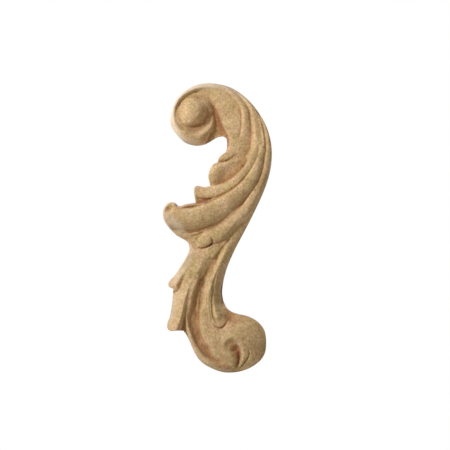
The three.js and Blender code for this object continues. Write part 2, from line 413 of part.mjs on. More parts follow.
function inside(poly, x, z) {
  let hit = false;
  for (let i = 0, j = poly.length - 1; i < poly.length; j = i++) {
    const [xi, zi] = poly[i], [xj, zj] = poly[j];
    if ((zi > z) !== (zj > z) && x < (xj - xi) * (z - zi) / (zj - zi) + xi) hit = !hit;
  }
  return hit;
}
const closed = [...outline, outline[0]];
function depth(x, z) { // distance in from the outline
  const d = Math.abs(nearest(closed, x, z).d);
  return inside(outline, x, z) ? d : -d;
}
const SPREAD = [[0, 0], [1, 0], [-1, 0], [0, 1], [0, -1]].map((p) => p.map((v) => v * 0.32 * PITCH));
function relief(x, z, d = depth(x, z)) { // mean over a small cross, so thin creases don't break up
  let h = 0;
  for (const [dx, dz] of SPREAD) h += STROKES.reduce((v, s) => carve(v, s, x + dx, z + dz), FLOOR) / SPREAD.length;
  const edge = SKIRT + EDGE_RISE * Math.sqrt(1 - (1 - clamp(d / EDGE_ROUND, 0, 1)) ** 2);
  return Math.max(softMin(h, edge, 0.5), SKIRT);
}

// ---- the solid -------------------------------------------------------------------
const xyz = [], tri = [];
const put = (x, z, h) => xyz.push(x, -h, z) / 3 - 1;
const area = (p, q, r) => (q[0] - p[0]) * (r[1] - p[1]) - (q[1] - p[1]) * (r[0] - p[0]);
const turnLeft = outline.reduce((s, p, i) => s + p[0] * outline[(i + 1) % outline.length][1] - outline[(i + 1) % outline.length][0] * p[1], 0) > 0;
if (!turnLeft) outline.reverse();
const N = outline.length;

// rows of points that climb the edge, each a little further in
const inward = outline.map((p, i) => {
  const a = outline[(i + N - 1) % N], b = outline[(i + 1) % N];
  const l = Math.hypot(b[0] - a[0], b[1] - a[1]);
  return [-(b[1] - a[1]) / l, (b[0] - a[0]) / l];
});
const back = outline.map(([x, z]) => put(x, z, 0));
const rows = [outline.map(([x, z]) => put(x, z, SKIRT))];
let ringXZ = outline;
for (const off of WALL_ROWS) {
  ringXZ = outline.map((p, i) => [p[0] + inward[i][0] * off, p[1] + inward[i][1] * off]);
  rows.push(ringXZ.map(([x, z]) => put(x, z, relief(x, z, off))));
}
let below = back;
for (const row of rows) {
  for (let i = 0; i < N; i++) {
    const j = (i + 1) % N;
    tri.push(below[i], below[j], row[j], below[i], row[j], row[i]);
  }
  below = row;
}

// lattice of square cells well inside the last row
const half = 0.55 * PITCH;
const box = new THREE.Box2().setFromPoints(outline.map(([x, z]) => new THREE.Vector2(x, z)));
const nx = Math.ceil((box.max.x - box.min.x) / PITCH) + 1, nz = Math.ceil((box.max.y - box.min.y) / PITCH) + 1;
const node = new Map(), key = (i, j) => i * 4096 + j;
for (let i = 0; i <= nx; i++) {
  for (let j = 0; j <= nz; j++) {
    const x = box.min.x + (i - 0.5) * PITCH, z = box.min.y + (j - 0.5) * PITCH, d = depth(x, z);
    if (d > WALL_ROWS[WALL_ROWS.length - 1] + half) node.set(key(i, j), { x, z, h: relief(x, z, d), id: -1 });
  }
}
let cells = new Set();
for (let i = 0; i < nx; i++) {
  for (let j = 0; j < nz; j++) {
    if (node.has(key(i, j)) && node.has(key(i + 1, j)) && node.has(key(i, j + 1)) && node.has(key(i + 1, j + 1))) cells.add(key(i, j));
  }
}
// two cells that would meet only at a corner both go
for (let again = true; again;) {
  again = false;
  for (const k of cells) {
    for (const [di, dj] of [[4096, 1], [4096, -1]]) {
      if (cells.has(k + di + dj) && !cells.has(k + di) && !cells.has(k + dj)) { cells.delete(k); again = true; break; }
    }
  }
}
const corner = (k) => { const n = node.get(k); if (n.id < 0) n.id = put(n.x, n.z, n.h); return n.id; };
const rimEdge = new Map();
for (const k of cells) {
  const a = corner(k), b = corner(k + 4096), c = corner(k + 4097), d = corner(k + 1);
  const ha = xyz[3 * a + 1], hb = xyz[3 * b + 1], hc = xyz[3 * c + 1], hd = xyz[3 * d + 1];
  if (Math.abs(ha - hc) < Math.abs(hb - hd)) tri.push(a, b, c, a, c, d); else tri.push(a, b, d, b, c, d);
  if (!cells.has(k - 1)) rimEdge.set(a, b);
  if (!cells.has(k + 4096)) rimEdge.set(b, c);
  if (!cells.has(k + 1)) rimEdge.set(c, d);
  if (!cells.has(k - 4096)) rimEdge.set(d, a);
}
// fill from the last edge row to the lattice
const holes = [];
while (rimEdge.size) {
  const start = rimEdge.keys().next().value, loop = [];
  for (let v = start; rimEdge.has(v);) { loop.push(v); const w = rimEdge.get(v); rimEdge.delete(v); v = w; }
  holes.push(loop);
}
const flat = (id) => new THREE.Vector2(xyz[3 * id], xyz[3 * id + 2]);
const ids = [...below, ...holes.flatMap((h) => h.slice().reverse())];
for (const t of THREE.ShapeUtils.triangulateShape(below.map(flat), holes.map((h) => h.slice().reverse().map(flat)))) {
  const [a, b, c] = t.map((i) => ids[i]);
  const s = area([xyz[3 * a], xyz[3 * a + 2]], [xyz[3 * b], xyz[3 * b + 2]], [xyz[3 * c], xyz[3 * c + 2]]);
  if (s > 0) tri.push(a, b, c); else tri.push(a, c, b);
}
// flat back
for (const [a, b, c] of THREE.ShapeUtils.triangulateShape(outline.map(([x, z]) => new THREE.Vector2(x, z)), [])) {
  if (area(outline[a], outline[b], outline[c]) > 0) tri.push(back[a], back[c], back[b]); else tri.push(back[a], back[b], back[c]);
}

const geometry = new THREE.BufferGeometry();
geometry.setAttribute('position', new THREE.Float32BufferAttribute(xyz, 3));
geometry.setIndex(tri);
geometry.computeVertexNormals();

const pulp = new THREE.MeshStandardMaterial({ color: 0xc9a06c, roughness: 0.82, metalness: 0 });
const scroll = new THREE.Mesh(geometry, pulp);
scroll.name = 'acanthus_scroll';
const applique = new THREE.Group();
applique.name = 'applique';
applique.add(scroll);
export default applique;
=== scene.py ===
# Pressed wood-pulp applique: the fine relief, the pulp finish, light and camera.
import math

import bpy
import numpy as np
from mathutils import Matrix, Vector
from mathutils.geometry import delaunay_2d_cdt


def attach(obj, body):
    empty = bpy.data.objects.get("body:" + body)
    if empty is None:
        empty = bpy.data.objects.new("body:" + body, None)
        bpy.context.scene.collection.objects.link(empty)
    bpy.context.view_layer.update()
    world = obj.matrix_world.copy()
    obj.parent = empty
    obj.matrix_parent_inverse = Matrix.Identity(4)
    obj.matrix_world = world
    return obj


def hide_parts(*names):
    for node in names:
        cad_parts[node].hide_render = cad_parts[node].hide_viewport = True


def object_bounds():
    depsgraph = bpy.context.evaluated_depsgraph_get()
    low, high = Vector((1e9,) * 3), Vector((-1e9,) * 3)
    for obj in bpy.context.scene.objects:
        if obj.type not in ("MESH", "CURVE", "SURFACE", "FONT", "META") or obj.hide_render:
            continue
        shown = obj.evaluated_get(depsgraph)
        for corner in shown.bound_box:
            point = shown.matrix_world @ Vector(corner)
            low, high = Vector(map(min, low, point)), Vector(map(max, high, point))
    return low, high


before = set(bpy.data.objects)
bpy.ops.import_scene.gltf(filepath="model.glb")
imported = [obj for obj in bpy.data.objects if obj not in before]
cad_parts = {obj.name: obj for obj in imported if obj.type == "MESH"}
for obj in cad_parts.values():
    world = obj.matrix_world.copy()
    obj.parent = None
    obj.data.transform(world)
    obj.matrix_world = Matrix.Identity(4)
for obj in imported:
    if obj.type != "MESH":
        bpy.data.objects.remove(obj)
cad_lo, cad_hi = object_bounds()

# ---- driving sizes (mm): the same as the solid's, with a finer lattice ----------
SKIRT = 0.9        # square edge left all round at the flat back
FLOOR = 2.6        # lowest carved ground
EDGE_ROUND = 1.5   # depth over which the face turns down into the edge
EDGE_RISE = 12.6   # height that turn would reach on the thickest lobe
PITCH = 0.20       # spacing of the surface lattice
OUTLINE_STEP = 0.22
WALL_ROWS = (0.006, 0.02, 0.045, 0.08, 0.13)
SOFTEN = 0.16      # how far the moulding has rounded every crease

# ---- outline: named edges, each a smooth curve through a few stations -----------
# [x, z]; a corner stands where two edges meet
EDGES = {
    'stem_inner': [
        [2.28, 34.66], [3.53, 33.74], [3.76, 30.02], [3.27, 28.5]],
    'lobe1_edge': [
        [3.27, 28.5], [1.71, 27.44], [0.61, 26.22], [0.15, 24.7]],
    'lobe2_edge': [
        [0.15, 24.7], [-1.52, 23.86], [-3.31, 19.76], [-2.62, 15.58]],
    'lobe3_top': [
        [-2.62, 15.58], [-4.56, 15.28], [-7.49, 15.66], [-8.36, 15.35], [-8.82, 14.06], [-8.21, 9.27]],
    'lobe4_top': [
        [-8.21, 9.27], [-12.16, 8.66], [-13.68, 8.09], [-14.93, 8.21], [-15.96, 9.23], [-17.48, 9.46],
        [-18.89, 8.93], [-20.03, 7.6], [-20.63, 5.89], [-20.56, 3.8], [-19.61, 1.33], [-15.81, -2.89],
        [-11.44, -5.66], [-10.56, -7.3], [-10.83, -9.58], [-15.69, -17.86], [-18.54, -21.28],
        [-18.39, -22.65], [-16.87, -23.48]],
    'leafA_left': [
        [-16.87, -23.48], [-16.76, -24.7], [-17.94, -33.82], [-18.77, -36.1], [-19.08, -37.81],
        [-18.62, -39.06], [-17.48, -39.67]],
    'leafA_foot': [
        [-17.48, -39.67], [-15.2, -39.52], [-12.81, -39.56]],
    'rimB': [
        [-12.81, -39.56], [-11.67, -41.12], [-8.36, -48.26], [-6.73, -50.62], [-4.56, -52.52],
        [1.14, -55.18], [4.94, -55.63], [8.74, -55.18], [11.93, -54.11], [14.9, -52.36], [17.33, -49.93],
        [18.58, -46.82], [18.35, -40.28], [16.91, -37.62], [14.63, -35.49], [11.78, -34.05], [6.08, -32.57],
        [3.8, -30.97], [2.36, -28.12]],
    'sweep': [
        [2.36, -28.12], [1.94, -24.7], [3.27, -17.33], [6.38, -9.58], [12.54, 2.28], [17.97, 13.91],
        [20.33, 21.58], [20.9, 29.26], [19.46, 36.67], [16.04, 43.36], [11.21, 49.06], [4.94, 53.28],
        [-2.66, 54.8], [-6.46, 54.42], [-10.18, 53.01], [-13.53, 50.69], [-15.88, 47.73], [-17.71, 41.04],
        [-17.1, 37.81], [-13.3, 32.95], [-10.26, 31.43], [-7.22, 31.01], [-4.18, 31.73], [0.38, 34.28],
        [2.28, 34.66]],
}

# ---- carving strokes, laid one after another ------------------------------------
# ridge: [x, z, half width left, half width right, crest height, (side heights left, right)]
# along its own crest, joined to what is there by a soft maximum; line: a raised bead
# (plus) or a cut (minus) added to the surface; boss and dent: ellipses.
# Left and right are as seen travelling along the stroke.
STROKES = [
    # volute body: x, z, half sizes, turn, top, rim
    dict(kind='boss', p=1.9, k=0.8, at=[-1.14, -33.82, 19.76, 22.8, 0, 7.2, 2]),
    # volute right: x, z, half sizes, turn, top, rim
    dict(kind='boss', p=1.9, k=1, q=1, at=[7.6, -41.8, 13.68, 14.06, 0, 7.7, 2]),
    # volute edge
    dict(kind='line', rows=[
        [-6.46, -51.3, 1.14, 1.14, -0.6], [-3.42, -53.58, 1.9, 1.9, -0.63], [0.38, -55.63, 2.66, 2.66, -0.9],
        [4.94, -56.62, 2.66, 2.66, -1.08], [12.54, -54.72, 2.66, 2.66, -0.81],
        [15.96, -51.83, 2.28, 2.28, -1.2], [18.24, -48.26, 2.28, 2.28, -0.6],
        [19.23, -44.08, 2.28, 2.28, -0.3], [18.62, -39.52, 1.52, 1.52, 0]]),
    # body cut left
    dict(kind='line', rows=[
        [-1.9, -5.7, 3.8, 6.08, -9], [-4.18, -11.02, 4.18, 6.84, -9], [-6.46, -16.34, 4.18, 7.6, -9],
        [-8.36, -20.14, 5.32, 8.36, -6], [-9.12, -23.18, 7.22, 9.12, -4], [-9.88, -26.98, 7.6, 9.12, -4.3],
        [-9.5, -34.58, 8.36, 10.64, -4.5], [-8.89, -39.14, 7.98, 9.88, -4.5],
        [-7.45, -43.32, 7.22, 7.6, -4.3], [-5.32, -47.12, 4.56, 5.32, -3.3],
        [-2.28, -50.54, 3.42, 3.8, -1.6], [1.37, -52.82, 2.28, 3.04, -1], [4.94, -53.96, 1.52, 2.28, -0.5]]),
    # body cut far
    dict(kind='line', rows=[
        [-13.68, -27.74, 2.66, 8.36, -5], [-14.06, -31.16, 2.28, 8.36, -7], [-14.06, -35.34, 2.28, 9.12, -7],
        [-13.3, -39.52, 1.9, 7.6, -6]]),
    # tongue cut
    dict(kind='line', rows=[
        [5.7, -8.74, 4.56, 5.32, -9], [3.8, -13.68, 4.56, 5.32, -9], [2.66, -18.62, 4.94, 4.94, -9],
        [2.66, -23.18, 4.94, 4.94, -8], [3.04, -26.98, 5.32, 4.94, -6], [3.8, -30.4, 4.94, 4.94, -3.04],
        [4.18, -33.29, 4.18, 4.56, -2], [2.66, -35.95, 3.42, 3.42, -0.96]]),
    # corner flat
    dict(kind='line', rows=[
        [3.42, -32.68, 3.04, 3.8, -0.2], [6.46, -33.44, 3.8, 6.08, -1.2], [9.88, -34.05, 3.42, 5.7, -1.1],
        [13.3, -35.57, 2.66, 4.18, -0.4]]),
    # channel top
    dict(kind='ridge', p=3, k=0.4, drop=0.6, rows=[
        [-15.39, 45.22, 1.33, 1.33, 5.2], [-14.29, 48.03, 1.52, 1.52, 6], [-12.16, 50.08, 1.52, 1.75, 6.5],
        [-9.5, 51.3, 1.52, 1.9, 6.7], [-6.46, 51.83, 1.52, 1.9, 6.8]]),
    # valley floor
    dict(kind='ridge', p=4, k=0.8, drop=0.3, rows=[
        [-2.36, 46.74, 1.14, 1.52, 6.2], [-0.15, 42.94, 1.9, 1.9, 4.9], [0.53, 39.9, 2.47, 3.04, 4.3],
        [0.46, 36.48, 4.18, 3.8, 4.1], [0.46, 33.44, 4.56, 4.56, 4.1]]),
    # G1 floor
    dict(kind='ridge', p=4, k=0.4, drop=0.3, rows=[
        [6.84, 50.73, 1.33, 1.33, 6.1], [9.35, 49.02, 1.33, 1.52, 6.4], [11.78, 46.36, 1.37, 1.52, 6.6],
        [13.72, 38.38, 1.37, 1.82, 6.6], [12.65, 30.78, 1.6, 2.43, 6.5], [7.71, 21.81, 1.52, 2.28, 6.25]]),
    # G2 floor
    dict(kind='ridge', p=4, k=0.4, drop=0.5, rows=[
        [13, 48.75, 1.52, 1.52, 5.5], [15.88, 44.76, 1.52, 1.67, 6.6], [17.78, 40.2, 1.29, 1.75, 7.8],
        [18.85, 31.08, 1.22, 1.9, 7.9], [15.85, 18.39, 1.52, 2.13, 7.75], [11.48, 12.01, 1.9, 2.13, 7.55],
        [9.12, 9.35, 1.9, 2.28, 7.35], [6.31, 6.61, 2.28, 2.28, 8.15], [-1.52, 1.29, 3.04, 2.28, 7.65],
        [-10.26, -1.37, 3.04, 2.28, 7.35], [-13.3, -1.52, 2.28, 2.28, 7.35]]),
    # under floor
    dict(kind='ridge', p=4, k=0.4, drop=0.4, rows=[
        [9.5, 3.04, 0.53, 1.9, 6.45], [6.84, -0.76, 0.61, 1.9, 6.45], [0.99, -6.46, 1.52, 2.66, 6.7],
        [-2.66, -8.74, 3.04, 3.04, 7.5]]),
    # lobe floor
    dict(kind='ridge', p=5, k=0.4, drop=0.4, rows=[
        [11.78, 26.98, 1.9, 1.9, 6.5], [10.49, 25.84, 2.28, 2.66, 6.6], [8.74, 25.46, 1.9, 3.04, 6.3],
        [6.46, 22.42, 3.04, 3.8, 6.8], [3.42, 19.38, 3.04, 4.18, 6.7], [-0.38, 16.72, 3.04, 3.42, 6.6],
        [-4.18, 11.02, 3.42, 3.42, 7.3], [-7.22, 9.12, 3.42, 3.42, 7.8]]),
    # lobe gap
    dict(kind='ridge', p=4, k=0.4, drop=0.4, rows=[
        [4.94, 25.27, 1.52, 1.52, 6.2], [2.28, 24.32, 1.52, 1.52, 6.4], [-0.19, 23.56, 1.9, 1.9, 6.4]]),
    # face
    dict(kind='ridge', p=2.2, k=0.5, q=0.6, rows=[
        [-9.88, 50.84, 1.52, 1.29, 5.5, 4.6, 4.4], [-6.46, 50.77, 2.28, 2.43, 6.6, 5.4, 4.8],
        [-3.42, 49.78, 3.04, 2.28, 6.6, 5.6, 4.8], [0, 47.65, 3.8, 1.9, 6.55, 6, 6.15],
        [3.04, 44.46, 6.08, 2.89, 7, 6.3, 6.55], [4.94, 40.74, 6.08, 3.27, 7.1, 6.3, 6.75],
        [6.99, 36.48, 5.7, 3.19, 7.2, 6.3, 6.75], [7.22, 32.68, 5.32, 2.66, 7.1, 6.2, 5.8],
        [7.41, 29.26, 4.94, 3.8, 7, 6, 5.6], [5.7, 25.84, 4.18, 2.66, 6.7, 5.6, 5.6]]),
    # face top
    dict(kind='ridge', p=1.1, k=0.4, q=1, drop=1.7, rows=[
        [-9.5, 51.53, 1.14, 1.9, 6.15], [-6.46, 52.21, 1.14, 3.04, 7.2], [1.14, 51.76, 1.14, 5.7, 7.95],
        [7.22, 47.65, 1.14, 4.94, 7.4], [8.89, 44.84, 1.14, 3.8, 7]]),
    # neck
    dict(kind='ridge', p=1.8, k=1.6, q=0.8, side=4.8, rows=[
        [-8.36, 46.36, 2.28, 2.28, 9], [-6.23, 47.12, 2.66, 3.04, 8.6], [-4.18, 46.36, 2.66, 3.04, 8.1],
        [-2.89, 44.23, 1.9, 2.66, 7.4]]),
    # rim
    dict(kind='ridge', p=2, k=0.3, rows=[
        [8.74, 31.92, 1.29, 3.42, 7, 6.9, 6], [10.26, 36.1, 1.14, 2.81, 7.4, 6.9, 5.9],
        [10.18, 43.7, 0.99, 2.28, 7.9, 6.8, 5.9], [9.04, 46.74, 0.99, 1.9, 7.9, 6.7, 5.9],
        [4.94, 51.15, 0.99, 1.52, 7.8, 6.4, 5.4], [1.52, 52.52, 0.99, 2.09, 8, 6.1, 4.4],
        [-6.35, 52.97, 0.99, 1.52, 8.5, 5, 4.2], [-10.15, 51.76, 1.06, 1.71, 8.7, 4.4, 4.2],
        [-13.41, 49.48, 1.14, 1.82, 8.8, 4.2, 4.2], [-15.43, 46.74, 1.14, 1.9, 8.8, 4, 4.2],
        [-16.26, 43.7, 1.14, 1.75, 8.5, 4, 4.2], [-16.11, 40.66, 1.29, 1.9, 8.5, 4, 4.2],
        [-14.9, 37.77, 1.75, 2.66, 8.5, 4, 4], [-12.69, 35.8, 2.2, 3.65, 8.8, 4.2, 4.5],
        [-9.88, 35.34, 2.13, 4.41, 8.8, 4.2, 3.1], [-7.07, 35.72, 2.05, 4.94, 8.6, 4.2, 2.7],
        [-5.17, 36.86, 1.6, 3.42, 8.1, 4.2, 2.5], [-3.72, 38.46, 1.22, 2.55, 7.5, 4.2, 3.3],
        [-2.58, 42.03, 0.65, 1.94, 6.8, 4.2, 3.3], [-2.81, 43.4, 0.53, 1.41, 6.2, 4.2, 3.3]]),
    # ball: x, z, half sizes, turn, top, rim
    dict(kind='boss', p=2, k=0.5, q=0.62, at=[-9.2, 43.62, 6.23, 6.38, 0, 10.6, 5.6]),
    # ball shade side
    dict(kind='line', rows=[
        [-2.66, 48.26, 2.28, 2.28, -0.2], [-2.66, 44.84, 3.04, 3.04, -0.9], [-3.42, 41.8, 3.42, 3.42, -2],
        [-5.32, 38.91, 3.42, 3.42, -2.8], [-8.74, 37.24, 3.04, 3.04, -2], [-11.78, 37.62, 2.28, 2.28, -0.8]]),
    # channel: x, z, half sizes, turn, top, rim
    dict(kind='boss', p=6, k=0.4, at=[-10.26, 43.13, 6.65, 8.74, 0, 5.9, 5.2]),
    # channel left
    dict(kind='ridge', p=3, k=0.6, drop=0.8, rows=[
        [-4.18, 49.17, 1.14, 1.52, 6.7], [-6.46, 49.78, 1.22, 1.52, 7.2], [-12.92, 49.17, 1.29, 1.29, 7.4],
        [-14.52, 46.74, 1.29, 1.29, 7.5], [-15.12, 41.42, 1.22, 1.22, 8.1], [-13.91, 38.91, 1.22, 1.22, 7.8],
        [-11.78, 37.24, 1.22, 1.22, 7.3], [-8.74, 36.63, 1.14, 1.14, 6.5], [-5.7, 37.62, 1.14, 1.14, 5.8],
        [-3.95, 39.67, 0.99, 0.99, 5.8], [-3.19, 42.56, 0.76, 0.76, 5.8]]),
    # lobe 1
    dict(kind='ridge', p=2.4, k=0.4, rows=[
        [7.6, 29.07, 1.52, 2.66, 6.9, 6, 5.6], [5.13, 27.66, 1.75, 2.66, 7.3, 5.8, 6],
        [2.85, 26.52, 1.67, 2.28, 7.4, 5.6, 6], [0.61, 25.92, 1.22, 2.28, 7.2, 5.8, 6]]),
    # lobe 2
    dict(kind='ridge', p=1.5, k=0.6, q=0.9, rows=[
        [8.74, 25.65, 1.52, 0.99, 6.6, 5.4, 5.8], [3.65, 24.09, 4.56, 0.99, 7.8, 5.2, 5.8],
        [1.14, 23.18, 5.32, 1.37, 8.3, 5.2, 6], [-0.91, 21.66, 6.08, 2.28, 8.4, 5.4, 6]]),
    # lobe 2 rim
    dict(kind='ridge', p=2, k=0.4, drop=1.4, rows=[
        [-0.38, 22.8, 0.99, 1.9, 7.6], [-1.37, 21.05, 0.84, 1.9, 7.3], [-1.37, 17.1, 0.84, 1.9, 6.9],
        [-0.38, 15.81, 0.99, 1.52, 6.9]]),
    # rib 2
    dict(kind='ridge', p=1.9, k=0.3, q=0.65, rows=[
        [3.95, 52.59, 1.14, 1.14, 6.6, 5, 5.8], [7.75, 50.84, 1.67, 1.14, 6.9, 4.8, 5.4],
        [12.84, 45.45, 2.51, 1.14, 7.8, 4.8, 5.2], [13.91, 41.8, 3.04, 1.29, 7.6, 6.1, 6.15],
        [14.67, 37.62, 3.42, 1.52, 7.7, 6.1, 6.15], [15.05, 33.44, 3.8, 1.75, 7.9, 6.3, 6.15],
        [14.52, 29.64, 4.18, 1.9, 8.2, 6.5, 6.25], [13.07, 26.3, 2.05, 2.13, 9.1, 6.4, 5.5]]),
    # lobe 3
    dict(kind='ridge', p=2.2, k=0.5, drop=1.1, rows=[
        [14.59, 29.64, 1.52, 1.14, 8.6], [13.53, 26.07, 1.98, 1.14, 8.9], [9.12, 19.46, 2.05, 1.37, 9.1],
        [4.18, 15.35, 2.2, 1.9, 9.2], [-1.75, 13.15, 2.28, 2.36, 9.2], [-7.79, 12.92, 1.82, 2.43, 8.8]]),
    # lobe 4
    dict(kind='ridge', p=2, k=0.4, rows=[
        [16.95, 30.4, 1.67, 0.91, 8.3, 6.8, 7.2], [15.58, 25.69, 2.66, 1.22, 8.8, 6.6, 7.7],
        [12.39, 18.62, 3.72, 2.13, 9.5, 6.5, 8.2], [10.11, 15.81, 4.18, 2.2, 9.8, 6.1, 8.4],
        [2.43, 9.65, 5.47, 2.58, 10.6, 6.2, 8.7], [-1.22, 7.83, 6.23, 2.96, 11, 6.7, 8.7],
        [-5.32, 6.46, 6.46, 2.66, 11.4, 6.8, 8.6], [-9.5, 5.62, 6.61, 3.42, 11.8, 7, 8.6],
        [-13.3, 5.7, 6.69, 3.8, 12.1, 7.2, 9.3], [-17.48, 5.17, 5.7, 4.56, 11.8, 7.6, 9.1]]),
    # lobe 5
    dict(kind='ridge', p=2.2, k=0.2, rows=[
        [14.44, 47.27, 1.52, 0.68, 6.05, 1, 5], [16.87, 43.85, 1.29, 0.76, 6.8, 1, 6],
        [18.89, 39.9, 1.37, 0.84, 7.55, 1, 6.8], [19.8, 35.72, 1.6, 0.87, 7.35, 1, 7],
        [20.1, 31.16, 1.82, 0.95, 7.55, 1, 7.1], [18.39, 21.89, 2.51, 1.14, 7.75, 1, 7.1],
        [16.87, 17.71, 2.89, 1.22, 7.87, 1, 7.1], [15.05, 13.76, 3.27, 1.29, 8.07, 1, 7.9],
        [12.77, 10.18, 3.57, 1.52, 8.27, 1.4, 7.7], [10.26, 6.31, 3.57, 1.82, 8.42, 3, 7.5],
        [7.14, 3.19, 2.58, 2.2, 8.52, 5, 7.4], [4.18, 0.08, 2.74, 2.51, 8.52, 5.8, 7.3],
        [0.84, -2.2, 3.12, 2.81, 8.7, 6.2, 6.9], [-2.66, -3.65, 3.04, 2.66, 8.5, 6.3, 6.3],
        [-5.02, -5.09, 2.96, 2.47, 8.2, 6.7, 6.2], [-6.31, -6.16, 2.13, 1.9, 7.9, 6.7, 6.2]]),
    # fold
    dict(kind='ridge', p=2.2, k=0.4, drop=1.9, rows=[
        [-19.76, 5.32, 3.42, 3.04, 9], [-17.67, 2.05, 3.04, 3.04, 8.3], [-12.69, -2.58, 1.29, 2.66, 7.5],
        [-10.26, -3.72, 1.22, 2.66, 7.3], [-8.36, -4.94, 1.29, 3.04, 7.2]]),
    # fold between
    dict(kind='ridge', p=2, k=0.3, drop=1, rows=[
        [-14.82, -0.61, 0.76, 0.76, 7.9], [-12.54, -1.37, 0.84, 0.91, 7.8], [-4.56, -0.38, 0.76, 0.91, 7.4]]),
    # rib 5
    dict(kind='ridge', p=1.5, k=0.5, q=0.85, rows=[
        [13.3, 9.12, 4.18, 1.14, 5.9, 4.4, 4.2], [11.25, 5.32, 4.18, 1.52, 6.3, 4.4, 4.6],
        [8.89, 1.52, 4.18, 1.9, 6, 3.6, 4.8], [6.84, -2.28, 4.56, 1.9, 6.4, 3.6, 4.7],
        [4.71, -6.31, 3.99, 1.67, 6.55, 3.3, 4.6], [2.51, -10.64, 4.14, 1.44, 7.5, 2.1, 4.4],
        [0.61, -14.82, 3.8, 1.9, 7.4, 2.1, 4.2], [-0.99, -18.62, 3.95, 1.82, 7, 2.1, 4.1],
        [-2.74, -22.42, 4.41, 2.2, 6.7, 3.1, 4], [-3.65, -26.22, 5.32, 2.13, 6.7, 3.3, 4],
        [-4.1, -29.64, 6.08, 1.67, 6.7, 3.9, 4], [-4.03, -32.3, 5.93, 1.82, 6.7, 3.4, 4.5],
        [-3.19, -34.81, 4.56, 3.04, 6.7, 5.4, 5.5], [-1.98, -36.63, 3.04, 3.04, 6.4, 6.4, 6.5]]),
    # rib 5 top
    dict(kind='ridge', p=2.6, k=0.8, drop=1.3, rows=[
        [-0.68, -18.62, 1.29, 1.06, 6], [-3.12, -26.22, 1.29, 1.9, 6.5], [-3.72, -29.64, 1.29, 2.05, 6.6],
        [-4.33, -32.68, 1.9, 2.28, 6.7], [-3.19, -39.14, 2.66, 3.04, 6.6], [-1.52, -42.18, 3.04, 3.42, 6.6]]),
    # leaf A
    dict(kind='ridge', p=1.25, k=0.3, q=1, rows=[
        [-3.04, -6.46, 3.8, 6.08, 6.9, 5.9, 6.7], [-4.41, -10.26, 4.41, 6.46, 7.2, 5.7, 6.7],
        [-5.93, -13.91, 3.57, 6.84, 7.5, 5.4, 6.7], [-7.75, -17.33, 2.74, 6.46, 7.8, 5.9, 6.5],
        [-9.5, -20.29, 1.6, 6.08, 7.6, 5.9, 6.3], [-12.16, -27.51, 1.25, 5.7, 7.9, 5.9, 4.4],
        [-13, -31.31, 1.33, 5.7, 8, 5.8, 3.7], [-13.68, -34.73, 1.37, 5.7, 8, 5.6, 3.7],
        [-14.82, -37.47, 1.67, 5.7, 7.9, 5.2, 3.7], [-15.5, -39.9, 1.67, 5.7, 7.2, 4.8, 3.4]]),
    # thorn
    dict(kind='ridge', p=1.25, k=0.3, q=1, rows=[
        [-10.26, -14.06, 1.52, 3.42, 6.8, 6.7, 5.2], [-12.31, -16.57, 1.14, 3.42, 7.1, 6.7, 5.2],
        [-15.28, -21.89, 0.99, 3.42, 7.4, 6.7, 5], [-15.96, -23.41, 0.99, 3.42, 6.6, 6.5, 5]]),
    # leaf groove
    dict(kind='ridge', p=4, k=0.5, drop=0.3, rows=[
        [-7.75, -19, 1.14, 1.14, 7.8], [-10.03, -23.94, 1.52, 1.52, 7.2], [-12.16, -31.92, 1.9, 1.52, 6.2],
        [-13.07, -39.14, 2.28, 1.52, 4.4]]),
    # valley
    dict(kind='ridge', p=4, k=0.8, drop=0.3, rows=[
        [2.43, -6.31, 1.82, 1.52, 6.2], [0.53, -10.11, 2.28, 2.28, 6], [-0.99, -13.3, 1.9, 1.9, 5.8],
        [-2.74, -16.34, 2.28, 1.9, 5.4], [-5.47, -23.94, 3.42, 2.81, 5], [-6.84, -28.12, 3.8, 3.19, 4.3],
        [-6.92, -40.28, 3.95, 3.27, 4.2], [-5.93, -44.23, 3.65, 3.19, 4.7], [-4.18, -47.88, 3.04, 3.04, 4.1],
        [-1.67, -50.92, 2.66, 2.28, 3.8], [1.52, -52.82, 2.28, 1.9, 3.7]]),
    # valley slope
    dict(kind='ridge', p=1.1, k=0.4, q=1, drop=0.9, rows=[
        [-7.37, -19, 1.14, 0.76, 5.95], [-8.51, -21.28, 1.9, 0.76, 5.85], [-10.18, -27.74, 2.51, 0.76, 5.2],
        [-10.41, -38, 2.43, 0.76, 5.1], [-7.52, -45.22, 2.28, 0.76, 5], [-5.7, -48.03, 1.9, 0.76, 4.8]]),
    # valley ridge
    dict(kind='ridge', p=2, k=0.4, drop=1, rows=[
        [-2.2, -14.29, 0.61, 0.61, 5.5], [-5.17, -19.76, 0.76, 0.76, 5.2], [-6.99, -25.84, 0.76, 0.76, 4.95],
        [-7.45, -31.92, 0.91, 0.76, 4.6]]),
    # rim B
    dict(kind='ridge', p=2, k=0.3, drop=2.8, rows=[
        [-7.45, -18.47, 0.61, 0.46, 6.3], [-8.82, -20.98, 0.68, 0.57, 6.3],
        [-10.83, -26.98, 0.68, 0.61, 6.4], [-11.36, -36.1, 0.84, 0.84, 6.55],
        [-7.07, -47.12, 1.03, 1.67, 6.4], [-2.89, -51.07, 1.06, 2.36, 5.5], [3.04, -52.74, 1.22, 2.66, 4.7],
        [6.46, -52.82, 1.29, 2.74, 4.3]]),
    # G2 line
    dict(kind='line', sharp=True, rows=[
        [13.76, 47.96, 0.38, 0.38, -0.1], [15.35, 44.38, 0.46, 0.46, -0.35],
        [17.67, 37.24, 1.1, 0.53, -0.75], [18.58, 29.26, 1.1, 0.53, -0.6], [17.86, 26.22, 1.03, 0.46, -0.45],
        [17.33, 22.27, 1.03, 0.46, -0.46], [15.85, 18.39, 0.46, 0.49, -0.5],
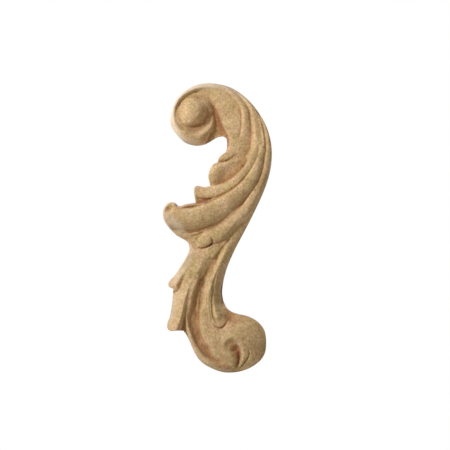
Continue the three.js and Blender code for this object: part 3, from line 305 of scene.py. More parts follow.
        [11.86, 12.62, 0.49, 0.53, -0.12], [4.41, 5.55, 0.49, 0.57, -0.07], [-3.04, 1.44, 0.49, 0.57, -0.07]]),
    # R1 crease
    dict(kind='line', sharp=True, rows=[
        [6.84, 48.49, 0.53, 0.53, -0.1], [8.59, 45.98, 0.61, 0.61, -0.42], [9.35, 42.94, 0.65, 0.65, -0.52],
        [8.97, 36.1, 0.65, 0.65, -0.31], [8.21, 33.06, 0.61, 0.61, -0.1]]),
    # G34
    dict(kind='line', sharp=True, rows=[
        [15.28, 26.22, 0.38, 0.46, -0.27], [12.31, 21.01, 0.49, 0.61, -0.72],
        [8.02, 15.96, 0.61, 0.8, -1.35], [1.71, 11.63, 0.68, 0.91, -1.53], [-4.14, 9.04, 0.99, 1.14, -2.07]]),
    # lobe 4 lip line
    dict(kind='line', sharp=True, rows=[
        [-13.68, 7.07, 0.46, 0.76, -0.51], [-12.16, 7.22, 0.61, 1.06, -1.1],
        [-7.98, 7.75, 0.61, 1.06, -1.43], [-5.7, 8.13, 0.61, 0.91, -0.88]]),
    # lobe 1 crease
    dict(kind='line', sharp=True, rows=[
        [7.83, 27.59, 0.38, 0.38, -0.14], [3.19, 24.97, 0.46, 0.46, -0.56], [0.95, 24.78, 0.38, 0.38, -0.28]]),
    # fold line 1
    dict(kind='line', sharp=True, rows=[
        [-5.32, -1.06, 0.46, 0.46, -0.2], [-7.22, -1.6, 0.46, 0.46, -0.52],
        [-9.88, -2.13, 0.46, 0.46, -0.59], [-12.92, -2.13, 0.46, 0.46, -0.33]]),
    # fold line 2
    dict(kind='line', sharp=True, rows=[
        [-4.79, -1.67, 0.49, 0.53, -0.3], [-6.08, -2.36, 0.61, 0.61, -0.8], [-7.6, -3.04, 0.61, 0.61, -0.9],
        [-9.5, -3.5, 0.46, 0.46, -0.4]]),
    # under lobe 5
    dict(kind='line', sharp=True, rows=[
        [8.74, 2.81, 0.46, 0.53, -0.13], [7.45, 0.91, 0.46, 0.53, -0.29], [1.75, -4.71, 0.46, 0.53, -0.35],
        [-0.61, -6.38, 0.46, 0.53, -0.29]]),
    # under lobe 5 tip
    dict(kind='line', sharp=True, rows=[
        [-1.52, -5.09, 0.68, 0.61, -1.53], [-2.05, -6.31, 0.68, 0.68, -1.9],
        [-3.57, -7.41, 0.68, 0.68, -1.9], [-5.32, -8.02, 0.61, 0.68, -1.19], [-6.84, -7.87, 0.49, 0.53, -0.63]]),
    # lobe 5 notch: x, z, half sizes, turn, top, rim
    dict(kind='dent', p=2, k=0.3, at=[-1.82, -4.86, 0.65, 0.99, 20, 7.2, 9.4]),
    # thorn slit
    dict(kind='line', sharp=True, rows=[
        [-10.79, -15.96, 0.31, 0.41, -0.06], [-12.08, -18.39, 0.34, 0.44, -0.2],
        [-13.38, -20.9, 0.34, 0.51, -0.33], [-14.29, -23.79, 0.41, 0.55, -0.43]]),
    # valley line left
    dict(kind='line', sharp=True, rows=[
        [-3.42, -13.68, 0.38, 0.38, -0.07], [-5.17, -16.19, 0.42, 0.42, -0.18],
        [-8.59, -24.09, 0.46, 0.46, -0.18], [-9.27, -26.98, 0.46, 0.46, -0.11]]),
    # valley line right
    dict(kind='line', sharp=True, rows=[
        [2.13, -5.85, 0.99, 0.99, -0.12], [0.84, -8.13, 1.14, 1.14, -0.12],
        [-0.23, -10.64, 0.99, 0.99, -0.12], [-1.9, -13.22, 0.61, 0.61, -0.18],
        [-4.56, -18.85, 0.46, 0.46, -0.12], [-5.47, -21.89, 0.46, 0.46, -0.09]]),
    # tongue line
    dict(kind='line', rows=[
        [-1.98, -21.66, 0.34, 0.34, 0.1], [-3.12, -25.84, 0.34, 0.34, 0.35],
        [-2.28, -35.57, 0.38, 0.46, 0.4], [0.76, -38.99, 0.38, 0.46, 0.1]]),
    # rib 5 crease
    dict(kind='line', sharp=True, rows=[
        [0.23, -16.34, 0.53, 0.38, -0.2], [-1.06, -20.52, 0.68, 0.46, -0.6],
        [-1.75, -24.7, 0.99, 0.49, -0.85], [-1.75, -31.92, 1.14, 0.53, -1],
        [-1.03, -34.73, 0.99, 0.53, -0.9], [0.04, -36.63, 0.61, 0.49, -0.4]]),
    # tongue crease
    dict(kind='line', sharp=True, rows=[
        [-2.43, -34.81, 0.46, 0.46, -0.3], [-1.67, -36.71, 0.53, 0.53, -0.9],
        [1.14, -38.53, 0.68, 0.61, -1.4], [2.66, -37.77, 0.68, 0.61, -1.3], [3.95, -35.95, 0.68, 0.61, -0.6]]),
    # bottom slope
    dict(kind='line', rows=[
        [-5.32, -52.44, 1.52, 1.52, -0.5], [-3.04, -54.72, 3.04, 3.04, -1.5],
        [0.38, -56.77, 4.56, 4.56, -2.4], [4.94, -57.53, 4.94, 4.94, -2.9], [8.74, -57, 4.56, 4.56, -2.4],
        [12.16, -55.1, 3.42, 3.42, -1.2], [15.2, -52.82, 2.28, 2.28, -0.4]]),
    # eye: x, z, half sizes, turn, top, rim
    dict(kind='dent', p=3.4, k=0.4, at=[5.4, -45.68, 3.8, 3.88, 0, 5.9, 8]),
    # curl: x, z, half sizes, turn, top, rim
    dict(kind='boss', p=2.2, k=0.5, at=[4.03, -51.15, 3.34, 3.19, 0, 5.2, 4.2]),
    # eye slope
    dict(kind='line', rows=[
        [7.22, -44.08, 1.14, 3.42, -0.6], [8.36, -46.36, 1.29, 4.56, -2.4], [8.44, -50.54, 1.37, 2.51, -2.1],
        [7.75, -52.44, 1.29, 1.9, -1.7], [6.84, -53.96, 0.91, 1.52, -0.8]]),
    # slit 1
    dict(kind='line', sharp=True, rows=[
        [8.36, -47.5, 0.61, 0.53, -0.4], [8.36, -49.4, 0.61, 0.53, -0.8], [7.9, -51.45, 0.61, 0.53, -0.8],
        [6.99, -53.2, 0.53, 0.46, -0.4]]),
    # slit ridge
    dict(kind='line', rows=[
        [10.41, -47.12, 0.84, 0.84, 0.03], [10.41, -49.25, 0.84, 0.84, 0.07],
        [9.65, -51.15, 0.84, 0.84, 0.07], [8.51, -52.82, 0.76, 0.76, 0.03]]),
    # slit 2
    dict(kind='line', sharp=True, rows=[
        [12.16, -46.59, 0.38, 0.46, -0.5], [12.08, -48.87, 0.42, 0.53, -1.6],
        [9.88, -52.44, 0.42, 0.53, -1.6], [8.59, -53.58, 0.38, 0.46, -0.8]]),
    # tip hollow: x, z, half sizes, turn, top, rim
    dict(kind='dent', p=2.4, k=0.3, at=[-18.01, 6.99, 2.36, 1.75, 32, 10.5, 12.4]),
]

# ---- tone: [x, z, half width left, half width right, amount] along each line; darker in some of the recesses,
# partly stain and partly painted shade; paler on some of the outer edges, partly wear and partly a painted
# highlight on the edges facing the lamp
TONES = [
    ("stain_and_shade", [
        [-14.06, 7.6, 1.52, 1.14, 0.5], [-11.02, 7.83, 1.9, 1.14, 0.8], [-3.8, 9.27, 1.52, 1.14, 0.6]]),
    ("stain_and_shade", [
        [-1.14, 46.74, 1.52, 1.52, 0.3], [0.23, 43.7, 1.9, 1.9, 0.6], [1.14, 35.72, 2.28, 2.28, 0.9]]),
    ("stain_and_shade", [
        [1.9, -33.44, 2.28, 2.28, 0.2], [4.56, -34.2, 3.42, 3.42, 0.7], [11.02, -35.34, 2.28, 2.28, 0.1]]),
    ("stain_and_shade", [
        [3.04, -44.08, 1.52, 1.52, 0.1], [7.37, -46.74, 2.28, 2.28, 0.8], [8.36, -49.02, 1.9, 1.9, 0.7],
        [7.6, -51.68, 1.14, 1.52, 0.3]]),
    ("stain_and_shade", [
        [9.12, 23.56, 1.14, 2.28, 0.2], [3.42, 17.86, 1.14, 2.28, 0.3], [0, 16.34, 1.14, 1.52, 0.2]]),
    ("stain_and_shade", [
        [-9.88, -34.58, 1.9, 1.9, 0.3], [-9.27, -38.38, 2.66, 1.9, 0.6], [-5.7, -45.98, 2.66, 1.9, 0.6],
        [-2.66, -49.4, 2.28, 2.28, 0.6], [4.94, -53.96, 1.52, 2.28, 0.7], [8.74, -54.34, 1.14, 1.9, 0.4]]),
    ("stain_and_shade", [
        [-12.39, -34.58, 1.14, 1.14, 0.2], [-12.39, -36.86, 1.52, 1.52, 0.5],
        [-12.69, -39.14, 1.52, 1.52, 0.6]]),
    ("wear_and_highlight", [
        [-6.84, 31.54, 1.52, 1.9, 0.4], [-11.02, 32.45, 1.52, 1.9, 0.7], [-14.82, 35.34, 1.52, 1.9, 0.8],
        [-17.1, 43.7, 1.14, 1.9, 0.8], [-13.3, 50.31, 1.52, 1.9, 0.9], [-5.7, 53.43, 1.37, 1.9, 0.8],
        [3.42, 52.97, 1.37, 1.9, 0.6], [11.02, 48.64, 1.14, 1.52, 0.4]]),
    ("wear_and_highlight", [
        [-19.76, 5.7, 2.28, 3.04, 0.3], [-14.82, 0, 2.66, 3.04, 0.8], [-12.16, -2.28, 1.52, 2.28, 0.3]]),
    ("wear_and_highlight", [
        [-9.88, -8.74, 1.52, 2.66, 0.5], [-11.02, -13.3, 1.9, 3.04, 0.5], [-16.72, -21.28, 1.52, 2.28, 0.5]]),
    ("wear_and_highlight", [
        [-15.2, -24.7, 2.28, 2.28, 0.2], [-17.25, -33.82, 2.28, 2.66, 0.45], [-18.24, -37.24, 1.52, 1.9, 0.2]]),
]
GRAIN_MM = 0.028     # height of the granules standing in the surface


# ---- curves ---------------------------------------------------------------------
def spline(rows, n):
    """Centripetal Catmull-Rom; numbers after x and z are carried along."""
    p = np.array(rows, float)
    ext = np.vstack([2 * p[0] - p[1], p, 2 * p[-1] - p[-2]])
    out = []
    for i in range(1, len(ext) - 2):
        p0, p1, p2, p3 = ext[i - 1:i + 3]
        d = [max(np.hypot(*(b - a)[:2]), 1e-6) ** 0.5 for a, b in ((p0, p1), (p1, p2), (p2, p3))]
        m1 = ((p1 - p0) / d[0] - (p2 - p0) / (d[0] + d[1]) + (p2 - p1) / d[1]) * d[1]
        m2 = ((p2 - p1) / d[1] - (p3 - p1) / (d[1] + d[2]) + (p3 - p2) / d[2]) * d[1]
        t = np.linspace(0, 1, n, endpoint=False)[:, None]
        out.append(p1 * (2 * t**3 - 3 * t**2 + 1) + m1 * (t**3 - 2 * t**2 + t)
                   + p2 * (3 * t**2 - 2 * t**3) + m2 * (t**3 - t**2))
    return np.vstack(out + [p[-1:]])


def nearest(curve, x, z):
    """Signed distance (plus on the right of travel) and the numbers carried there."""
    a, d = curve[:-1, :2], curve[1:, :2] - curve[:-1, :2]
    sq = (d**2).sum(1) + 1e-12
    best = np.full(x.shape, 1e18)
    at = np.zeros(x.shape, int)
    along = np.zeros(x.shape)
    for i in range(len(a)):
        dx, dz = x - a[i, 0], z - a[i, 1]
        t = np.clip((dx * d[i, 0] + dz * d[i, 1]) / sq[i], 0, 1)
        q = (dx - t * d[i, 0]) ** 2 + (dz - t * d[i, 1]) ** 2
        m = q < best
        best[m], at[m], along[m] = q[m], i, t[m]
    turn = d[at, 0] * (z - a[at, 1]) - d[at, 1] * (x - a[at, 0])
    row = curve[at] * (1 - along[..., None]) + curve[at + 1] * along[..., None]
    return np.sqrt(best) * np.where(turn > 0, -1, 1), row


# ---- smooth joins and profiles --------------------------------------------------
def soft_max(a, b, k):
    h = np.clip(0.5 + 0.5 * (a - b) / k, 0, 1)
    return b * (1 - h) + a * h + k * h * (1 - h)


def soft_min(a, b, k):
    return -soft_max(-a, -b, k)


def bell(t):
    return (1 - np.clip(t, 0, 1) ** 2) ** 2


def vee(t):
    return (1 - np.clip(t, 0, 1)) ** 1.6


def carve(x, z):
    """Height of the carving above the flat back, before the edge turns down."""
    h = np.full(x.shape, FLOOR)
    for s in STROKES:
        if "rows" in s:
            r = np.array(s["rows"], float)
            pad = r[:, 2:4].max() + 0.6
            m = ((x >= r[:, 0].min() - pad) & (x <= r[:, 0].max() + pad)
                 & (z >= r[:, 1].min() - pad) & (z <= r[:, 1].max() + pad))
            d, row = nearest(spline(r, 10), x[m], z[m])
            t = np.abs(d) / np.maximum(np.where(d < 0, row[:, 2], row[:, 3]), 0.1)
            if s["kind"] == "line":
                h[m] += row[:, 4] * (vee(t) if s.get("sharp") else bell(t))
                continue
            top = row[:, 4]
            if r.shape[1] > 5:
                side = np.where(d < 0, row[:, 5], row[:, 6])
            else:
                side = top - s["drop"] if "drop" in s else np.full(top.shape, s["side"])
            new = side + (top - side) * (1 - np.clip(t, 0, 1) ** s["p"]) ** s.get("q", 0.5)
            h[m] = np.where(t < 1, soft_max(h[m], new, s["k"]), h[m])
        else:
            cx, cz, rx, rz, turn, top, rim = s["at"]
            c, q = math.cos(math.radians(turn)), math.sin(math.radians(turn))
            t = np.hypot(((x - cx) * c + (z - cz) * q) / rx, ((z - cz) * c - (x - cx) * q) / rz)
            if s["kind"] == "dent":
                h = np.where(t < 1.4, soft_min(h, top + (rim - top) * t ** s["p"], s["k"]), h)
            else:
                new = rim + (top - rim) * (1 - np.clip(t, 0, 1) ** s["p"]) ** s.get("q", 0.5)
                h = np.where(t < 1, soft_max(h, new, s["k"]), h)
    return h


# ---- outline --------------------------------------------------------------------
def evenly(rows, step):
    fine = spline(rows, 24)
    cum = np.concatenate([[0], np.cumsum(np.hypot(*np.diff(fine, axis=0).T))])
    s = np.linspace(0, cum[-1], max(2, round(cum[-1] / step)), endpoint=False)
    return np.column_stack([np.interp(s, cum, fine[:, 0]), np.interp(s, cum, fine[:, 1])])


outline = np.vstack([evenly(rows, OUTLINE_STEP) for rows in EDGES.values()])
turned = np.roll(outline, -1, 0)
if (outline[:, 0] * turned[:, 1] - turned[:, 0] * outline[:, 1]).sum() < 0:
    outline = outline[::-1].copy()
N = len(outline)
coarse = np.vstack([outline[::2], outline[:1]])  # enough for distances


def inside(x, z, poly):
    hit = np.zeros(x.shape, bool)
    for (x0, z0), (x1, z1) in zip(poly, np.roll(poly, -1, 0)):
        if z0 != z1:
            hit ^= ((z0 > z) != (z1 > z)) & (x < (x1 - x0) * (z - z0) / (z1 - z0) + x0)
    return hit


def blur(g, sigma):
    n = max(1, int(3 * sigma + 0.5))
    w = np.exp(-0.5 * (np.arange(-n, n + 1) / max(sigma, 1e-6)) ** 2)
    w /= w.sum()
    for axis in (0, 1):
        pad = [(n, n) if a == axis else (0, 0) for a in (0, 1)]
        p = np.pad(g, pad, mode="edge")
        size = g.shape[axis]
        g = sum(w[i] * (p[i:i + size] if axis == 0 else p[:, i:i + size]) for i in range(2 * n + 1))
    return g


def grain(shape, cell, rng):
    """Smooth random field with about one bump in each cell lattice steps."""
    gy, gx = int(shape[0] / cell) + 3, int(shape[1] / cell) + 3
    seed = rng.standard_normal((gy, gx))
    y, x = np.arange(shape[0]) / cell, np.arange(shape[1]) / cell
    iy, ix = y.astype(int), x.astype(int)
    fy, fx = y - iy, x - ix
    fy, fx = (fy * fy * (3 - 2 * fy))[:, None], (fx * fx * (3 - 2 * fx))[None]
    a, b = seed[iy][:, ix], seed[iy][:, ix + 1]
    c, d = seed[iy + 1][:, ix], seed[iy + 1][:, ix + 1]
    return (a * (1 - fx) + b * fx) * (1 - fy) + (c * (1 - fx) + d * fx) * fy


# ---- height field ---------------------------------------------------------------
x0, z0 = outline.min(0) - 4 * PITCH
x1, z1 = outline.max(0) + 4 * PITCH
gx, gz = np.arange(x0, x1, PITCH), np.arange(z0, z1, PITCH)
GX, GZ = np.meshgrid(gx, gz)
raw = blur(carve(GX, GZ), SOFTEN / PITCH)
rng = np.random.default_rng(7)
granules = (0.55 * grain(raw.shape, 1.7, rng) + 0.45 * grain(raw.shape, 3.1, rng)
            + 0.5 * grain(raw.shape, 9, rng))
raw += GRAIN_MM * granules
wide = blur(raw, 1.1 / PITCH)
hollow = np.clip((wide - raw) / 1.6, 0, 1)  # how deep in a groove a point lies
broad = np.clip((blur(raw, 2.6 / PITCH) - raw) / 2.6, 0, 1)  # and in a broad valley


def tone_of(kind):
    g = np.zeros(GX.shape)
    for k, rows in TONES:
        if k == kind:
            d, row = nearest(spline(rows, 8), GX, GZ)
            t = np.abs(d) / np.maximum(np.where(d < 0, row[..., 2], row[..., 3]), 0.1)
            g = np.maximum(g, row[..., 4] * bell(t))
    return g


# masks for the darker recess lines (partly stain, partly painted shade) and the paler edge lines (partly wear,
# partly painted highlight)
stain_and_shade, wear_and_highlight = tone_of("stain_and_shade"), tone_of("wear_and_highlight")


def read(g, x, z):
    """Bilinear reading of a lattice at any point."""
    u, v = (x - x0) / PITCH, (z - z0) / PITCH
    i, j = np.clip(u.astype(int), 0, g.shape[1] - 2), np.clip(v.astype(int), 0, g.shape[0] - 2)
    fu, fv = u - i, v - j
    return ((g[j, i] * (1 - fu) + g[j, i + 1] * fu) * (1 - fv)
            + (g[j + 1, i] * (1 - fu) + g[j + 1, i + 1] * fu) * fv)


def turned_down(h, depth):
    edge = SKIRT + EDGE_RISE * np.sqrt(1 - (1 - np.clip(depth / EDGE_ROUND, 0, 1)) ** 2)
    return np.maximum(soft_min(h, edge, 0.5), SKIRT)


DEPTH = np.abs(nearest(coarse, GX, GZ)[0])
DEPTH = np.where(inside(GX, GZ, outline), DEPTH, -DEPTH)
GH = turned_down(raw, DEPTH)

# ---- mesh -----------------------------------------------------------------------
verts, faces = [], []
looks = {"hollow": (hollow, []), "valley": (broad, []), "stain_and_shade": (stain_and_shade, []), "wear_and_highlight": (wear_and_highlight, [])}


def put(x, z, h, here=None, strength=1.0):
    """Adds points; the looks are read off their lattices, or at the lattice points given."""
    start = len(verts)
    placed = np.column_stack([x, -np.asarray(h) * np.ones(len(x)), z])
    verts.extend(np.clip(placed, np.array(cad_lo) * 1000, np.array(cad_hi) * 1000))
    for g, values in looks.values():
        values.extend(strength * (read(g, x, z) if here is None else g[here]))
    return np.arange(start, start + len(x))


prev, nxt = np.roll(outline, 1, 0), np.roll(outline, -1, 0)
along = (nxt - prev) / np.hypot(*(nxt - prev).T)[:, None]
inward = np.column_stack([-along[:, 1], along[:, 0]])
back = put(outline[:, 0], outline[:, 1], 0, strength=0.0)  # the back is plain pulp
rows = [put(outline[:, 0], outline[:, 1], SKIRT, strength=0.4)]
for off in WALL_ROWS:
    ring = outline + inward * off
    rows.append(put(ring[:, 0], ring[:, 1], turned_down(read(raw, ring[:, 0], ring[:, 1]), np.full(N, off))))
below = back
for row in rows:
    faces += [(int(a), int(b), int(c), int(d)) for a, b, c, d in
              zip(below, np.roll(below, -1), np.roll(row, -1), row)]
    below = row

ok = DEPTH > WALL_ROWS[-1] + 0.55 * PITCH
cell = ok[:-1, :-1] & ok[1:, :-1] & ok[:-1, 1:] & ok[1:, 1:]
while True:  # of two cells that would meet only at a corner, one goes each pass
    bad = np.zeros_like(cell)
    a, b, c, d = cell[:-1, :-1], cell[:-1, 1:], cell[1:, :-1], cell[1:, 1:]
    one, two = a & d & ~b & ~c, b & c & ~a & ~d
    bad[:-1, :-1] |= one
    bad[:-1, 1:] |= two
    if not bad.any():
        break
    cell &= ~bad
ident = -np.ones(GX.shape, int)
used = np.zeros(GX.shape, bool)
used[:-1, :-1] |= cell
used[1:, :-1] |= cell
used[:-1, 1:] |= cell
used[1:, 1:] |= cell
ident[used] = put(GX[used], GZ[used], GH[used], used)
J, I = np.nonzero(cell)
qa, qb, qc, qd = ident[J, I], ident[J, I + 1], ident[J + 1, I + 1], ident[J + 1, I]
faces += list(zip(qa.tolist(), qb.tolist(), qc.tolist(), qd.tolist()))
padded = np.pad(cell, 1)
rim = []
for dj, di, p, q in ((-1, 0, qa, qb), (0, 1, qb, qc), (1, 0, qc, qd), (0, -1, qd, qa)):
    m = ~padded[J + 1 + dj, I + 1 + di]
    rim += list(zip(p[m].tolist(), q[m].tolist()))

# the band between the last edge row and the lattice
V = np.array(verts)
ring_ids = below.tolist()
rim_ids = sorted({i for e in rim for i in e})
ids = ring_ids + rim_ids
local = {v: k for k, v in enumerate(ids)}
pts = [Vector((V[i, 0], V[i, 2])) for i in ids]
links = [(local[a], local[b]) for a, b in zip(ring_ids, ring_ids[1:] + ring_ids[:1])]
links += [(local[a], local[b]) for a, b in rim]
out_pts, _, out_faces, orig, _, _ = delaunay_2d_cdt(pts, links, [], 0, 1e-7)
tri = np.array([[orig[k][0] for k in f] for f in out_faces])
P = np.array([(p.x, p.y) for p in pts])
mid = P[tri].mean(1)
keep = inside(mid[:, 0], mid[:, 1], P[:N])
ci = np.floor((mid[:, 0] - x0) / PITCH).astype(int)
cj = np.floor((mid[:, 1] - z0) / PITCH).astype(int)
keep &= ~cell[np.clip(cj, 0, cell.shape[0] - 1), np.clip(ci, 0, cell.shape[1] - 1)]
for a, b, c in tri[keep]:
    s = np.cross(P[b] - P[a], P[c] - P[a])
    t = (ids[a], ids[b], ids[c]) if s > 0 else (ids[a], ids[c], ids[b])
    faces.append(t)

# flat back
bp = [Vector(p) for p in outline]
_, _, bf, borig, _, _ = delaunay_2d_cdt(bp, [(i, (i + 1) % N) for i in range(N)], [], 1, 1e-7)
for f in bf:
    a, b, c = (borig[k][0] for k in f)
    s = np.cross(outline[b] - outline[a], outline[c] - outline[a])
    faces.append(tuple(int(back[k]) for k in ((a, c, b) if s > 0 else (a, b, c))))

mesh = bpy.data.meshes.new("pulp_relief")
mesh.from_pydata((np.array(verts) / 1000).tolist(), [], faces)
mesh.validate()
for name, (_, values) in looks.items():
    attr = mesh.attributes.new(name, "FLOAT", "POINT")
    attr.data.foreach_set("value", np.array(values, np.float32))
smooth = np.ones(len(mesh.polygons), bool)
normals = np.zeros(len(mesh.polygons) * 3, np.float32)
mesh.polygons.foreach_get("normal", normals)
smooth[normals.reshape(-1, 3)[:, 1] > 0.999] = False  # the back stays flat
mesh.polygons.foreach_set("use_smooth", smooth)
mesh.update()
scroll = bpy.data.objects.new("pulp_relief", mesh)
bpy.context.scene.collection.objects.link(scroll)
print("relief:", len(mesh.vertices), "vertices,", sum(len(f) - 2 for f in faces), "triangles")

# sharp edge where the flat back meets the side
edge_vert = {}
sharp = mesh.attributes.new("sharp_edge", "BOOLEAN", "EDGE")
ev = np.zeros(len(mesh.edges) * 2, np.int32)
mesh.edges.foreach_get("vertices", ev)
ev = ev.reshape(-1, 2)
sharp.data.foreach_set("value", (ev < N).all(1))

# ---- wood pulp --------------------------------------------------------------------
pulp = bpy.data.materials.new("wood_pulp")
pulp.use_nodes = True
nt = pulp.node_tree
nt.nodes.clear()


def node(kind, **values):
    n = nt.nodes.new(kind)
    for key, v in values.items():
        setattr(n, key, v)
    return n


def wire(a, b):
    nt.links.new(a, b)


out = node("ShaderNodeOutputMaterial")
bsdf = node("ShaderNodeBsdfPrincipled")
wire(bsdf.outputs["BSDF"], out.inputs["Surface"])
bsdf.inputs["Specular IOR Level"].default_value = 0.4
bsdf.inputs["Sheen Weight"].default_value = 0.32
bsdf.inputs["Sheen Roughness"].default_value = 0.5
coords = node("ShaderNodeTexCoord")


def noise(scale, detail=3.0, rough=0.6, stretch=None):
    n = node("ShaderNodeTexNoise")
    n.inputs["Scale"].default_value = scale
    n.inputs["Detail"].default_value = detail
    n.inputs["Roughness"].default_value = rough
    src = coords.outputs["Object"]
    if stretch:
        m = node("ShaderNodeMapping")
        m.inputs["Scale"].default_value = stretch
        wire(src, m.inputs["Vector"])
        src = m.outputs["Vector"]
    wire(src, n.inputs["Vector"])
    return n.outputs["Fac"]


def ramp(value, stops):
    r = node("ShaderNodeValToRGB")
    e = r.color_ramp.elements
    while len(e) < len(stops):
        e.new(0.5)
    for k, (pos, col) in enumerate(stops):
        e[k].position, e[k].color = pos, (*col, 1)
    wire(value, r.inputs["Fac"])
    return r.outputs["Color"]


def mix(kind, fac, a, b):
    m = node("ShaderNodeMix", data_type="RGBA", blend_type=kind)
    if isinstance(fac, float):
        m.inputs[0].default_value = fac
    else:
        wire(fac, m.inputs[0])
    for sock, v in ((m.inputs[6], a), (m.inputs[7], b)):
        if isinstance(v, tuple):
            sock.default_value = (*v, 1)
        else:
            wire(v, sock)
    return m.outputs[2]


def maths(op, a, b=0.0, clamp=False):
    m = node("ShaderNodeMath", operation=op, use_clamp=clamp)
    for sock, v in zip(m.inputs, (a, b)):
        if isinstance(v, float):
            sock.default_value = v
        else:
            wire(v, sock)
    return m.outputs[0]


# cloudy tone over several millimetres, then the granules of the pulp
cloud = ramp(noise(140, 3, 0.55), [(0.32, (0.495, 0.325, 0.138)), (0.50, (0.575, 0.387, 0.178)), (0.68, (0.665, 0.458, 0.232))])
speck = ramp(noise(2300, 2, 0.7), [(0.32, (0.70, 0.66, 0.60)), (0.5, (1.0, 1.0, 1.0)), (0.70, (1.22, 1.24, 1.26))])
tone = mix("MULTIPLY", 0.70, cloud, speck)
blotch = ramp(noise(620, 2, 0.6), [(0.34, (0.86, 0.84, 0.78)), (0.5, (1.0, 1.0, 1.0)), (0.66, (1.13, 1.13, 1.15))])
tone = mix("MULTIPLY", 0.45, tone, blotch)
fleck = ramp(noise(1250, 2, 0.6), [(0.36, (0.84, 0.80, 0.72)), (0.5, (1.0, 1.0, 1.0)), (0.64, (1.13, 1.14, 1.16))])
tone = mix("MULTIPLY", 0.72, tone, fleck)
chips = node("ShaderNodeTexVoronoi", feature="F1")
chips.inputs["Scale"].default_value = 1500
wire(coords.outputs["Object"], chips.inputs["Vector"])
chip = ramp(chips.outputs["Color"], [(0.0, (0.78, 0.72, 0.62)), (0.45, (1.0, 1.0, 1.0)), (1.0, (1.1, 1.12, 1.12))])
tone = mix("MULTIPLY", 0.8, tone, chip)
hue = ramp(noise(230, 2, 0.5), [(0.36, (0.965, 1.0, 0.90)), (0.5, (1.0, 1.0, 1.0)), (0.64, (1.045, 0.985, 1.06))])
tone = mix("MULTIPLY", 0.8, tone, hue)
# painted shade: darker the deeper a point lies in a groove
hollow_at = node("ShaderNodeAttribute", attribute_name="hollow")
groove_shade = maths("POWER", hollow_at.outputs["Fac"], 0.8, clamp=True)
tone = mix("MULTIPLY", groove_shade, tone, (0.81, 0.62, 0.45))
# painted shade: darker the further down a broad valley a point lies
low = node("ShaderNodeAttribute", attribute_name="valley")
tone = mix("MULTIPLY", maths("MULTIPLY", low.outputs["Fac"], 1.1, clamp=True), tone, (0.72, 0.53, 0.38))
# painted shade: darker brown along the listed recess lines, partly stain and partly shade painted into the colour
stain_and_shade_at = node("ShaderNodeAttribute", attribute_name="stain_and_shade")
tone = mix("MULTIPLY", stain_and_shade_at.outputs["Fac"], tone, (0.68, 0.50, 0.35))
# painted highlight: paler along the listed outer edges facing the lamp, partly wear and partly light painted into
# the colour
wear_and_highlight_at = node("ShaderNodeAttribute", attribute_name="wear_and_highlight")
tone = mix("MIX", maths("MULTIPLY", wear_and_highlight_at.outputs["Fac"], 0.45, clamp=True), tone, (0.93, 0.80, 0.62))
wire(tone, bsdf.inputs["Base Color"])
wire(ramp(noise(900, 2), [(0.3, (0.70,) * 3), (0.7, (0.92,) * 3)]), bsdf.inputs["Roughness"])
bump = node("ShaderNodeBump")
bump.inputs["Strength"].default_value = 0.5
bump.inputs["Distance"].default_value = 0.00012
lumps = maths("ADD", noise(2300, 3, 0.65), maths("MULTIPLY", chips.outputs["Distance"], -0.8))
wire(lumps, bump.inputs["Height"])
wire(bump.outputs["Normal"], bsdf.inputs["Normal"])
mesh.materials.append(pulp)

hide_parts("acanthus_scroll")
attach(scroll, "root")

# ---- stage: pale floor well away from the piece -----------------------------------
pale = bpy.data.materials.new("stage_pale")
pale.use_nodes = True
pb = pale.node_tree.nodes["Principled BSDF"]
pb.inputs["Base Color"].default_value = (0.9, 0.9, 0.9, 1)
pb.inputs["Roughness"].default_value = 1.0


def plane(name, corners):
    m = bpy.data.meshes.new(name)
    m.from_pydata(corners, [], [(0, 1, 2, 3)])
    m.materials.append(pale)
    o = bpy.data.objects.new(name, m)
    bpy.context.scene.collection.objects.link(o)
    return o


plane("floor", [(-4, -4, -1.0), (4, -4, -1.0), (4, 4, -1.0), (-4, 4, -1.0)])

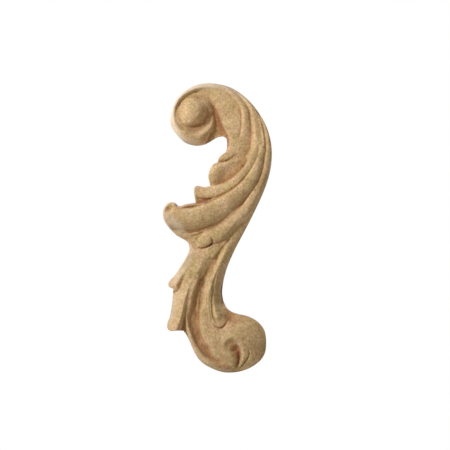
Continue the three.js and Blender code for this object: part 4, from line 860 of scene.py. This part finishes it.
# ---- light: a pale room, white behind the piece, and one soft lamp from the upper left
LEAN = 0.42
FRONT, BESIDE = (0.192, 0.166, 0.118), (0.433, 0.44, 0.438)
world = bpy.data.worlds.new("studio")
bpy.context.scene.world = world
world.use_nodes = True
wt = world.node_tree
bg = wt.nodes["Background"]
sky_at = wt.nodes.new("ShaderNodeTexCoord")
split = wt.nodes.new("ShaderNodeSeparateXYZ")
sky = wt.nodes.new("ShaderNodeValToRGB")
spread = wt.nodes.new("ShaderNodeMapRange")
wt.links.new(sky_at.outputs["Generated"], split.inputs["Vector"])
lean = wt.nodes.new("ShaderNodeMath")  # brighter on the lamp's side of the room
lean.operation = "SUBTRACT"
wt.links.new(split.outputs["Z"], lean.inputs[0])
wt.links.new(split.outputs["X"], lean.inputs[1])
tilt = wt.nodes.new("ShaderNodeMath")
tilt.operation = "MULTIPLY_ADD"
wt.links.new(lean.outputs["Value"], tilt.inputs[0])
tilt.inputs[1].default_value = LEAN
wt.links.new(split.outputs["Y"], tilt.inputs[2])
wt.links.new(tilt.outputs["Value"], spread.inputs["Value"])
spread.inputs["From Min"].default_value, spread.inputs["From Max"].default_value = -0.35, 0.6
wt.links.new(spread.outputs["Result"], sky.inputs["Fac"])
sky.color_ramp.elements[0].color = (*FRONT, 1)
sky.color_ramp.elements[1].color = (1.0, 1.0, 1.0, 1)
beside = sky.color_ramp.elements.new(0.38)
beside.color = (*BESIDE, 1)
wt.links.new(sky.outputs["Color"], bg.inputs["Color"])
bg.inputs["Strength"].default_value = 1.0


def area(name, place, size, power, colour=(1, 1, 1)):
    lamp = bpy.data.lights.new(name, "AREA")
    lamp.shape, lamp.size, lamp.energy, lamp.color = "DISK", size, power, colour
    o = bpy.data.objects.new(name, lamp)
    o.location = place
    o.rotation_euler = (-Vector(place)).to_track_quat("-Z", "Y").to_euler()
    bpy.context.scene.collection.objects.link(o)


area("key", (-0.23, -0.23, 0.155), 0.095, 1.10, (0.96, 1.0, 1.15))

# ---- camera: straight on ----------------------------------
cam = bpy.data.cameras.new("camera")
cam.sensor_width, cam.lens = 36.0, 200.0
camera = bpy.data.objects.new("camera", cam)
MM_PER_PX, FRAME_PX = 0.38, 450
CENTRE = ((225 - 217) * MM_PER_PX / 1000, (227 - 225) * MM_PER_PX / 1000)
span = FRAME_PX * MM_PER_PX / 1000
far = span / 2 / math.tan(math.atan(cam.sensor_width / 2 / cam.lens))
camera.location = (CENTRE[0], -far - 0.006, CENTRE[1])
camera.rotation_euler = (math.pi / 2, 0, 0)
cam.clip_start, cam.clip_end = 0.01, 50
bpy.context.scene.collection.objects.link(camera)
bpy.context.scene.camera = camera
bpy.context.scene.view_settings.view_transform = "Standard"
bpy.context.scene.view_settings.look = "None"
